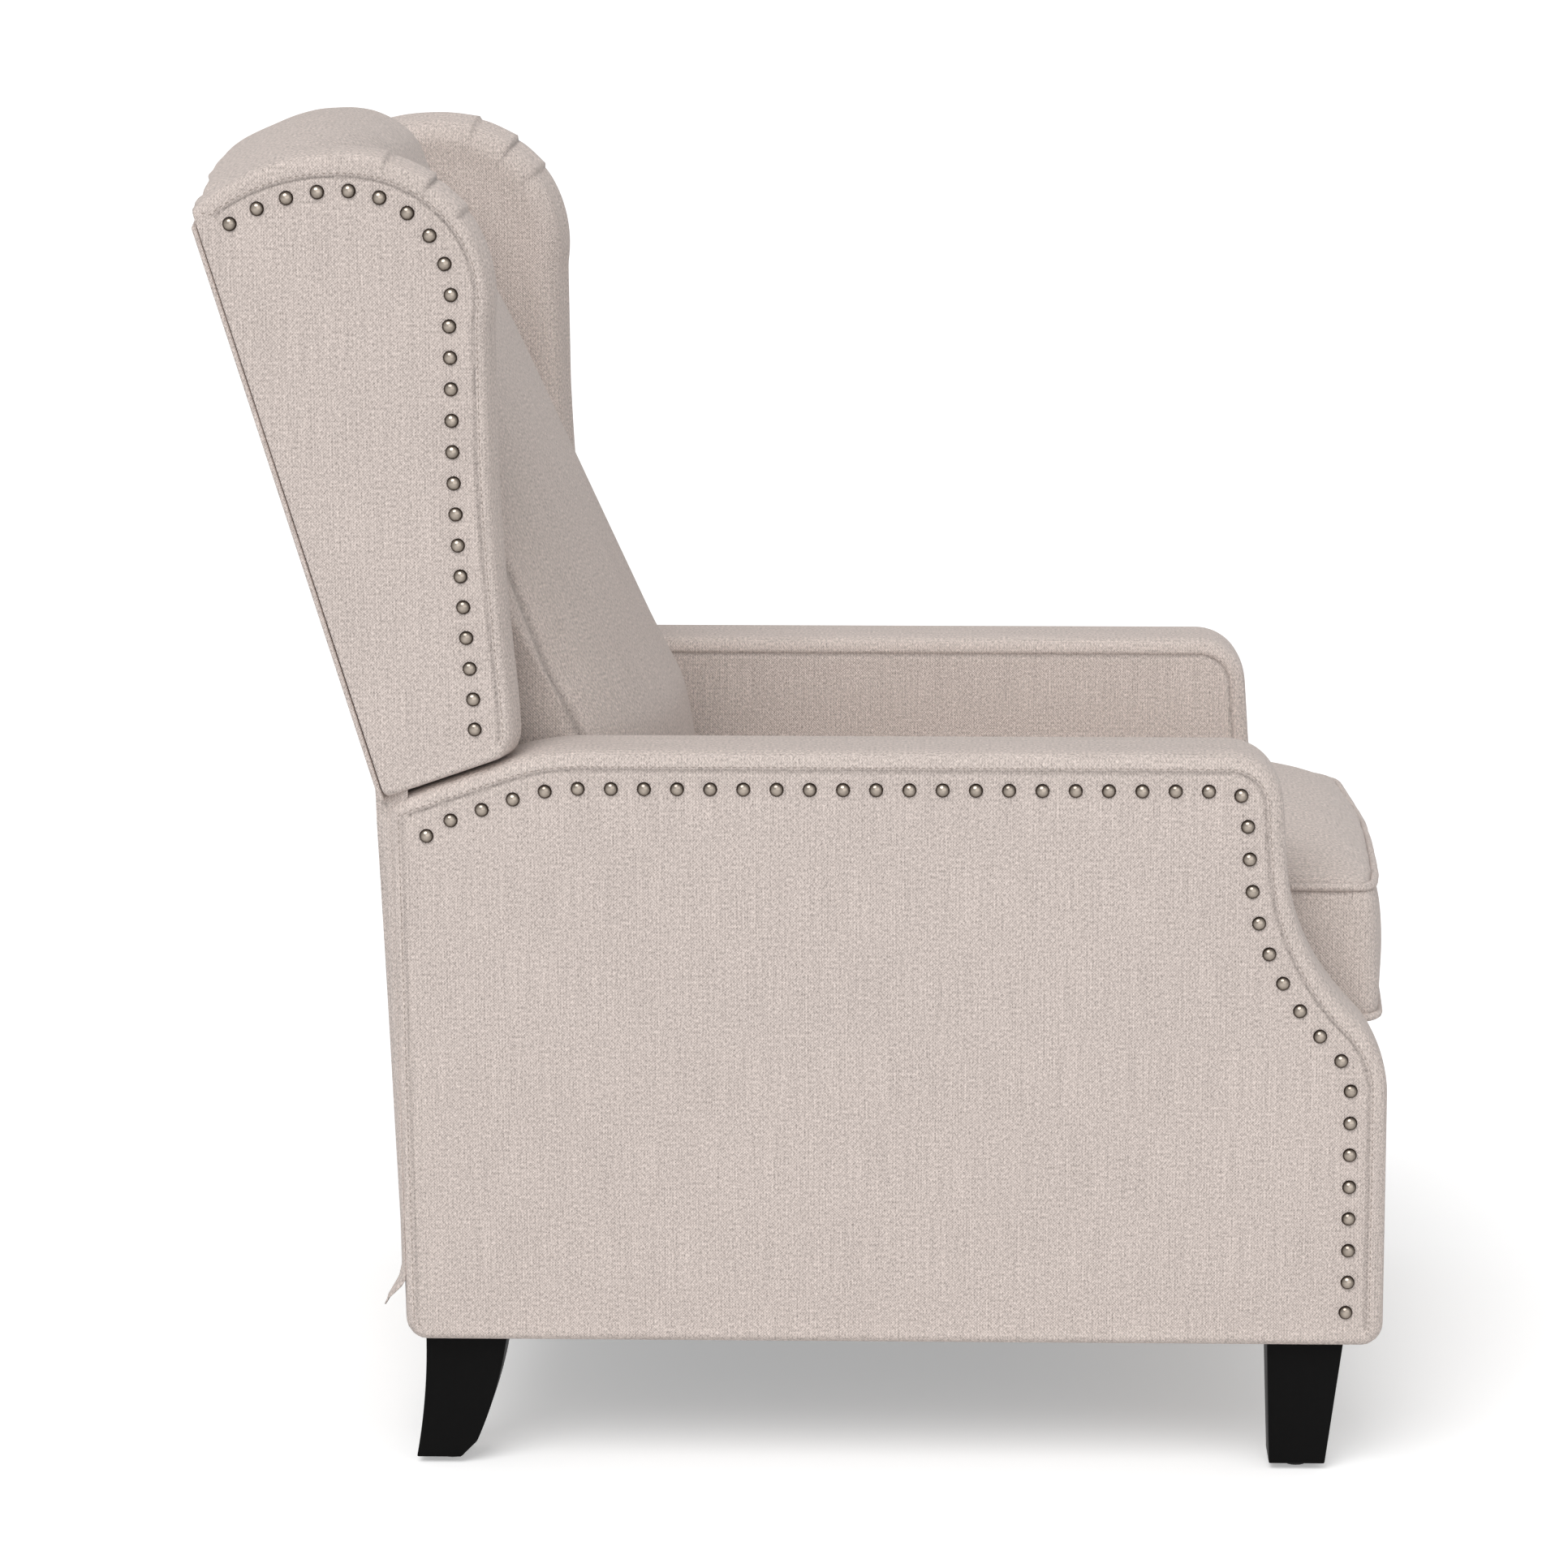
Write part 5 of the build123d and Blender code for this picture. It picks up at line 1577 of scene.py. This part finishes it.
def tube(path: np.ndarray, radius: float, sides: int = 10) -> tuple[np.ndarray, list[list[int]]]:
    """A closed tube along a closed path.

    Args:
        path: The path's points.
        radius: The tube's radius.
        sides: Points round the tube.

    Returns:
        The tube's points and faces.
    """
    heading = np.roll(path, -1, 0) - np.roll(path, 1, 0)
    heading /= np.linalg.norm(heading, axis=1)[:, None]
    side = np.cross(heading, (0.0, 0.0, 1.0))
    side /= np.linalg.norm(side, axis=1)[:, None]
    up = np.cross(side, heading)
    angles = np.linspace(0, 2 * math.pi, sides, endpoint=False)
    rings = path[:, None] + radius * (
        side[:, None] * np.cos(angles)[None, :, None] + up[:, None] * np.sin(angles)[None, :, None]
    )
    count = len(path)
    faces = []
    for i in range(count):
        j = (i + 1) % count
        for k in range(sides):
            m = (k + 1) % sides
            faces.append([i * sides + k, j * sides + k, j * sides + m, i * sides + m])
    return rings.reshape(-1, 3), faces


@dataclass
class SeatCushion:
    """The boxed seat cushion with piping round its top and bottom edges."""

    stuffing: Stuffing
    corner: float = 20.0 * MM
    piping: float = 3.3 * MM
    bow: float = 9.0 * MM
    reach: float = 4.0 * MM
    lean: float = 6.0 * MM
    drop: float = 4.0 * MM
    fullness: float = 14.0 * MM
    pull: float = 1.8 * MM
    pull_width: float = 7.0 * MM
    shade_width: float = 4.2 * MM
    bedding: float = 0.6 * MM

    BATCH = 4000

    def build(self, shop: Workshop) -> None:
        """Make the cushion and fit its piping to the swollen cloth.

        Args:
            shop: Where the pieces are made.
        """
        cushion = self.stuffing.swell(shop, "seat_cushion", "seat_cushion_linen", self.bowed)
        rings = sorted(shop.reading("seat_welting", islands), key=lambda lump: lump[:, 2].mean())
        points = points_of(cushion)
        painted_shades = np.zeros(len(points))
        polygons = [tuple(face.vertices) for face in cushion.data.polygons]
        tree = BVHTree.FromPolygons([Vector(point) for point in points], polygons)
        vertices, faces = [], []
        for ring in rings:
            path = self.fitted(tree, ring, ring is rings[0])
            gap = self.gap_to(points, path)
            pulled = bell(gap, self.pull_width)
            centre = path.mean(0)
            inward = centre - points
            inward[:, 2] = 0
            inward /= np.maximum(np.linalg.norm(inward, axis=1), 1e-9)[:, None]
            points = points + inward * (self.pull * pulled)[:, None]
            # Painted shade on the cloth beside each ring of piping.
            painted_shades = np.maximum(painted_shades, 0.8 * bell(gap, self.shade_width))
            ring_points, ring_faces = tube(path, self.piping)
            base = sum(len(ring_before) for ring_before in vertices)
            vertices.append(ring_points)
            faces += [[base + i for i in face] for face in ring_faces]
        set_points(cushion, points)
        set_values(cushion, PAINTED_SHADE, painted_shades)
        piping = shop.add("seat_piping", np.vstack(vertices), faces, Slot.LINEN)
        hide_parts("seat_cushion")
        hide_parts("seat_welting")
        for piece in (cushion, piping):
            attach(piece, "seat")
        LOG.info("%s has %d points", cushion.name, len(points))

    def bowed(self, points: np.ndarray, normals: np.ndarray) -> np.ndarray:
        """The cushion with a fuller crown, and its front pushed forward, bowed and lower at its foot.

        Args:
            points: The cushion's points, which are moved.
            normals: The directions that they face.

        Returns:
            The moved points.
        """
        low, high = points.min(0), points.max(0)
        share = np.clip(1 - (points[:, 0] / high[0]) ** 2, 0, 1)
        length = np.clip(2 * (points[:, 1] - low[1]) / (high[1] - low[1]) - 1, -1, 1)
        points[:, 2] += self.fullness * share * (1 - length**6) * ease(normals[:, 2], 0.2, 0.8)
        foot = 1 - (points[:, 2] - low[2]) / (high[2] - low[2])
        near = 1 - ease(points[:, 1], low[1] + 0.01, low[1] + 0.10)
        points[:, 1] -= (self.reach + self.lean * foot + self.bow * share) * near
        points[:, 2] -= self.drop * near * ease(foot, 0.55, 0.95)
        return points

    def fitted(self, tree: BVHTree, ring: np.ndarray, lower: bool) -> np.ndarray:
        """A path on the cushion's side at the height of a ring of CAD piping.

        Args:
            tree: The cushion's surface.
            ring: The points of the CAD ring.
            lower: Whether it is the lower of the two rings.

        Returns:
            The closed path's points.
        """
        low, high = ring.min(0), ring.max(0)
        front = ring[ring[:, 1] < low[1] + 0.03, 2].mean() - (self.drop if lower else 0.0)
        rear = ring[ring[:, 1] > high[1] - 0.03, 2].mean()
        across = np.linspace(low[0], high[0], 40)
        bowed = low[1] - self.bow * (1 - (across / high[0]) ** 2)
        plan = np.vstack([np.column_stack([across, bowed]), [(high[0], high[1]), (low[0], high[1])]])
        line = Outline(plan, 4 * MM, self.corner / 3.2)
        path = []
        for (x, y), (dx, dy) in zip(line.points, line.inward):
            share = (y - low[1]) / (high[1] - low[1])
            height = front + (rear - front) * share
            start = Vector((x - dx * 0.04, y - dy * 0.04, height))
            hit, _, _, _ = tree.ray_cast(start, Vector((dx, dy, 0)), 0.2)
            if hit is not None:
                path.append((hit.x - dx * self.bedding, hit.y - dy * self.bedding, height))
        return smoothed(np.array(path), 6)

    @classmethod
    def gap_to(cls, points: np.ndarray, path: np.ndarray) -> np.ndarray:
        """How far points are from the nearest point of a path.

        Args:
            points: The points.
            path: The path's points.

        Returns:
            The distances.
        """
        gaps = []
        for start in range(0, len(points), cls.BATCH):
            gap = points[start : start + cls.BATCH, None] - path[None]
            gaps.append(np.sqrt((gap**2).sum(2).min(1)))
        return np.concatenate(gaps)


@dataclass
class BackCushion:
    """The padded inside back, sewn to a gusset along each side.

    Heights in pairs are where a change starts and where it is complete.
    """

    stuffing: Stuffing
    seam_x: float = 0.2425
    seam_top: float = 0.90
    between_arms: float = 0.249
    draw: tuple[float, float] = (0.60, 0.74)
    fullness: float = 12.0 * MM
    crest: float = 9.0 * MM
    rear_reach: float = 0.1513
    rear_lean: float = 0.3058
    seam_foot: tuple[float, float] = (0.42, 0.45)
    seam_depth: float = 2.4 * MM
    seam_width: float = 2.6 * MM
    fuller_from: tuple[float, float] = (0.46, 0.58)
    fuller_until: tuple[float, float] = (0.86, 1.02)
    crest_height: tuple[float, float] = (0.95, 0.99)

    def build(self, shop: Workshop) -> None:
        """Make the cushion, then press its side seams in.

        Args:
            shop: Where the piece is made.
        """
        cushion = self.stuffing.swell(shop, "back_cushion", "back_cushion_linen", self.narrowed)
        points, normals = points_of(cushion), normals_of(cushion)
        front = ease(-normals[:, 1], 0.15, 0.45)
        height = points[:, 2]
        length = ease(height, *self.seam_foot) * (1 - ease(height, self.seam_top, self.seam_top + 0.05))
        groove = bell(np.abs(points[:, 0]) - self.seam_x, self.seam_width) * front * length
        set_points(cushion, points - normals * (self.seam_depth * groove)[:, None])
        # Painted shade in the side seams' grooves.
        set_values(cushion, PAINTED_SHADE, 0.8 * groove)
        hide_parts("back_cushion")
        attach(cushion, "back")
        LOG.info("%s has %d points", cushion.name, len(points))

    def narrowed(self, points: np.ndarray, normals: np.ndarray) -> np.ndarray:
        """The cushion with a fuller front and rear crest, drawn in smoothly between the arms.

        Args:
            points: The cushion's points, which are moved.
            normals: The directions that they face.

        Returns:
            The moved points.
        """
        widest = np.abs(points[:, 0]).max()
        most = self.between_arms + (widest - self.between_arms) * ease(points[:, 2], *self.draw)
        points[:, 0] = np.sign(points[:, 0]) * np.minimum(np.abs(points[:, 0]), most)
        share = np.clip(1 - (points[:, 0] / widest) ** 4, 0, 1)
        front = ease(-normals[:, 1], 0.1, 0.5)
        height = ease(points[:, 2], *self.fuller_from) * (1 - ease(points[:, 2], *self.fuller_until))
        points[:, 1] -= self.fullness * share * front * height
        behind = points[:, 1] - self.rear_reach - self.rear_lean * points[:, 2]
        points[:, 1] += self.crest * ease(behind, -0.035, -0.008) * ease(points[:, 2], *self.crest_height)
        return points


@dataclass
class FootrestPad:
    """The padded front of the footrest board."""

    stuffing: Stuffing

    def build(self, shop: Workshop) -> None:
        """Make the pad.

        Args:
            shop: Where the piece is made.
        """
        pad = self.stuffing.swell(shop, "footrest_pad", "footrest_pad_linen")
        set_values(pad, PAINTED_SHADE, np.zeros(len(pad.data.vertices)))
        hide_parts("footrest_pad")
        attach(pad, "footrest")
        LOG.info("%s has %d points", pad.name, len(pad.data.vertices))


# ---------------------------------------------------------------- back of the chair
def grid_faces(rows: int, columns: int, turned: bool = False) -> list[list[int]]:
    """The faces between rows of points.

    Args:
        rows: Rows of points.
        columns: Points in a row.
        turned: Whether the faces look the other way.

    Returns:
        The faces, row by row.
    """
    faces = []
    for row in range(rows - 1):
        for column in range(columns - 1):
            start = row * columns + column
            face = [start, start + 1, start + columns + 1, start + columns]
            faces.append([face[0], *face[:0:-1]] if turned else face)
    return faces


@dataclass
class OutsideBack:
    """The tight outside back and the loose flap that closes the gap below it."""

    panel_drop: float = 13.0 * MM
    corner_fill: float = 13.0 * MM
    hem_flare: float = 7.0 * MM
    longer: float = 4.0 * MM
    tuck: float = 1.5 * MM
    arm_lean: float = 0.013
    ripple: float = 1.5 * MM
    seam_allowance: float = 2 * MM
    fixed_height: float = 0.20
    thickness: float = 1.2 * MM
    columns: int = 120
    rows: int = 84

    def build(self, shop: Workshop) -> None:
        """Make the panel and the flap.

        Args:
            shop: Where the pieces are made.
        """
        panel = shop.softened("outside_back_panel", Slot.LINEN, 1.6 * MM, 3)
        points = points_of(panel)
        drop = self.panel_drop * ease(points[:, 2], 0.90, 0.95)
        points[:, 1] -= BackCushion.rear_lean * drop
        points[:, 2] -= drop
        set_points(panel, points)
        self.flap(shop)

    def flap(self, shop: Workshop) -> None:
        """Hang the flap from the panel's foot and let its hem flare.

        Args:
            shop: Where the piece is made.
        """
        low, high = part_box("rear_flap")
        ring = shop.reading("rear_flap", lambda mesh: np.array([tuple(v.co) for v in mesh.verts]))
        heights = np.linspace(high.z, low.z - self.longer, self.rows)
        line = self.rear_line(ring, heights)
        across = np.linspace(low.x + 1 * MM, high.x - 1 * MM, self.columns)
        arm_rear, arm_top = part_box("arm_cover_left")[1].yz
        vertices = []
        for z, y in zip(heights, line):
            wrap = y - arm_rear + self.arm_lean * (arm_top - z) + self.tuck
            wrap += self.corner_fill * ease(z, arm_top - 0.060, arm_top - 0.036)
            fallen = ease(high.z - z, 0.03, 0.20)
            hem = ease(low.z + 0.018 - z, 0.0, 0.022)
            for x in across:
                wave = self.ripple * fallen * math.sin(x * 23.0 + 0.7) * math.cos(x * 9.0 + z * 4.0)
                wave -= max(wrap, 0.0) * float(ease(abs(x), high.x - 14 * MM, high.x)) * (1 - hem)
                flare = self.hem_flare * hem * (0.72 + 0.28 * math.cos(x * 17.0 + 0.4))
                vertices.append((x, y + wave + flare, z))
        faces = grid_faces(self.rows, self.columns)
        flap = shop.add("rear_flap_linen", np.array(vertices), faces, Slot.LINEN)
        flap.data.materials.append(shop.lining)
        body = flap.modifiers.new("cloth", "SOLIDIFY")
        body.thickness = self.thickness
        body.offset = -1
        body.material_offset = 1
        body.material_offset_rim = 0
        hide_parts("rear_flap")
        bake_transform(flap)
        LOG.info("%s hangs %.3f m", flap.name, high.z - low.z)

    @staticmethod
    def rear_line(ring: np.ndarray, heights: np.ndarray) -> np.ndarray:
        """The reach of the CAD flap's rear face at some heights.

        Args:
            ring: The CAD flap's points.
            heights: The heights.

        Returns:
            The Y of the face at each height.
        """
        levels = sorted({round(z, 3) for z in ring[:, 2]})
        reach = [ring[np.abs(ring[:, 2] - z) < 1.5 * MM, 1].max() for z in levels]
        return np.interp(heights, levels, reach)


@dataclass
class UnderSheet:
    """The dust cover stapled under the frame."""

    sag: float = 2.5 * MM
    thickness: float = 0.8 * MM
    columns: int = 40
    rows: int = 40

    def build(self, shop: Workshop) -> None:
        """Make the sheet, a little slack in its middle.

        Args:
            shop: Where the piece is made.
        """
        low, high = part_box("dust_cover")
        vertices = []
        for j in range(self.rows):
            for i in range(self.columns):
                u, v = i / (self.columns - 1), j / (self.rows - 1)
                drop = self.sag * (16 * u * (1 - u) * v * (1 - v)) ** 0.8
                vertices.append((low.x + u * (high.x - low.x), low.y + v * (high.y - low.y), high.z - drop))
        faces = grid_faces(self.rows, self.columns, turned=True)
        piece = shop.add("dust_cover_cloth", np.array(vertices), faces, Slot.DUST_CLOTH)
        thick = piece.modifiers.new("cloth", "SOLIDIFY")
        thick.thickness = self.thickness
        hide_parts("dust_cover")
        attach(piece, "base")


# ---------------------------------------------------------------- room and camera
@dataclass
class Studio:
    """A white room, soft light from above and behind the camera, and the photograph's camera."""

    eye: tuple[float, float, float] = (-4.005, -0.1583, 1.2097)
    pitch: float = math.radians(10.17)
    yaw: float = math.radians(1.398)
    lens: float = 111.24
    shift: float = -0.060
    ambient: float = 0.47
    floor_reach: float = 90.0
    floor_colour: Colour = (0.86, 0.86, 0.86)
    floor_lift: float = 0.36

    def build(self) -> None:
        """Put the floor, world, lamps and camera in the scene."""
        self.floor()
        self.world()
        self.sun("key_light", (-0.62, 0.22, 0.75), strength=1.62, softness=40.0)
        self.sun("fill_light", (-0.88, -0.36, 0.31), strength=0.50, softness=60.0)
        self.camera()

    def world(self) -> None:
        """A dim even light that the camera and reflections see as white."""
        world = bpy.data.worlds.new("studio")
        bpy.context.scene.world = world
        world.use_nodes = True
        nodes, links = world.node_tree.nodes, world.node_tree.links
        nodes.clear()
        seen = self.seen_directly(nodes, links)
        strength = nodes.new("ShaderNodeMix")
        strength.inputs[2].default_value = self.ambient
        strength.inputs[3].default_value = 1.0
        links.new(seen, strength.inputs[0])
        light = nodes.new("ShaderNodeBackground")
        light.inputs[0].default_value = (1.0, 1.0, 1.0, 1.0)
        links.new(strength.outputs[0], light.inputs[1])
        links.new(light.outputs[0], nodes.new("ShaderNodeOutputWorld").inputs[0])

    @staticmethod
    def seen_directly(nodes: bpy.types.Nodes, links: bpy.types.NodeLinks) -> Socket:
        """1 for rays that show the background, in the camera, in gloss or through glass.

        Args:
            nodes: The nodes of a world or a material.
            links: Its links.

        Returns:
            The socket that carries it.
        """
        path = nodes.new("ShaderNodeLightPath")
        result = path.outputs["Is Camera Ray"]
        for name in ("Is Glossy Ray", "Is Transmission Ray"):
            node = nodes.new("ShaderNodeMath")
            node.operation = "MAXIMUM"
            links.new(result, node.inputs[0])
            links.new(path.outputs[name], node.inputs[1])
            result = node.outputs[0]
        return result

    def floor(self) -> None:
        """A pale floor that keeps the chair's shadow."""
        mesh = bpy.data.meshes.new("floor")
        half = self.floor_reach
        corners = [(-half, -half, 0), (half, -half, 0), (half, half, 0), (-half, half, 0)]
        mesh.from_pydata(corners, [], [(0, 1, 2, 3)])
        floor = placed("floor", mesh)
        material = bpy.data.materials.new("studio_floor")
        material.use_nodes = True
        nodes, links = material.node_tree.nodes, material.node_tree.links
        shader = nodes["Principled BSDF"]
        shader.inputs["Base Color"].default_value = (*self.floor_colour, 1.0)
        shader.inputs["Roughness"].default_value = 0.9
        shader.inputs["Specular IOR Level"].default_value = 0.1
        shader.inputs["Emission Color"].default_value = (1.0, 1.0, 1.0, 1.0)
        seen = self.seen_directly(nodes, links)
        lift = nodes.new("ShaderNodeMath")
        lift.operation = "MULTIPLY"
        links.new(seen, lift.inputs[0])
        lift.inputs[1].default_value = self.floor_lift
        links.new(lift.outputs[0], shader.inputs["Emission Strength"])
        mesh.materials.append(material)

    @staticmethod
    def sun(name: str, towards: tuple[float, float, float], strength: float, softness: float) -> None:
        """A broad soft light.

        Args:
            name: The lamp's name.
            towards: The direction from the chair to the light.
            strength: Its strength.
            softness: Its width in degrees.
        """
        lamp = bpy.data.lights.new(name, "SUN")
        lamp.energy = strength
        lamp.angle = math.radians(softness)
        light = placed(name, lamp)
        light.rotation_mode = "QUATERNION"
        light.rotation_quaternion = Vector(towards).to_track_quat("Z", "Y")

    def camera(self) -> None:
        """The photograph's viewpoint."""
        forward = Vector((
            math.cos(self.pitch) * math.cos(self.yaw),
            math.cos(self.pitch) * math.sin(self.yaw),
            -math.sin(self.pitch),
        ))
        right = Vector((math.sin(self.yaw), -math.cos(self.yaw), 0.0))
        up = right.cross(forward)
        turn = Matrix((right, up, -forward)).transposed()
        data = bpy.data.cameras.new("camera")
        data.sensor_width = 36.0
        data.lens = self.lens
        data.shift_x = self.shift
        data.clip_end = 400.0
        camera = placed("camera", data)
        camera.matrix_world = Matrix.Translation(self.eye) @ turn.to_4x4()
        bpy.context.scene.camera = camera


def clear_scene() -> None:
    """Remove what a new file starts with."""
    for thing in list(bpy.data.objects):
        bpy.data.objects.remove(thing)


def main() -> None:
    """Dress the frame and set up the studio."""
    logging.basicConfig(level=logging.INFO, format="%(name)s: %(message)s")
    clear_scene()
    shop = Workshop()
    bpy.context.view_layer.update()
    bpy.context.scene.view_settings.view_transform = "Standard"
    Studio().build()
    shop.finish_nodes()
    SeatCushion(Stuffing(voxel=6 * MM, shrink=1.5 * MM, most=3.5 * MM, smoothing=2)).build(shop)
    BackCushion(Stuffing(voxel=7 * MM, shrink=3 * MM, most=4 * MM, smoothing=4)).build(shop)
    FootrestPad(Stuffing(voxel=5 * MM, shrink=1.5 * MM, most=2.5 * MM, smoothing=1)).build(shop)
    ArmUpholstery().build(shop)
    WingUpholstery().build(shop)
    OutsideBack().build(shop)
    UnderSheet().build(shop)
    for side in Side:
        shop.softened(f"front_leg_{side.tag}", Slot.BLACK_WOOD, 1.2 * MM, 3)
        shop.softened(f"rear_leg_{side.tag}", Slot.BLACK_WOOD, 1.2 * MM, 3)
    shop.softened("back_webbing", Slot.WEBBING, 0.4 * MM, 1)


if __name__ == "__main__":
    main()
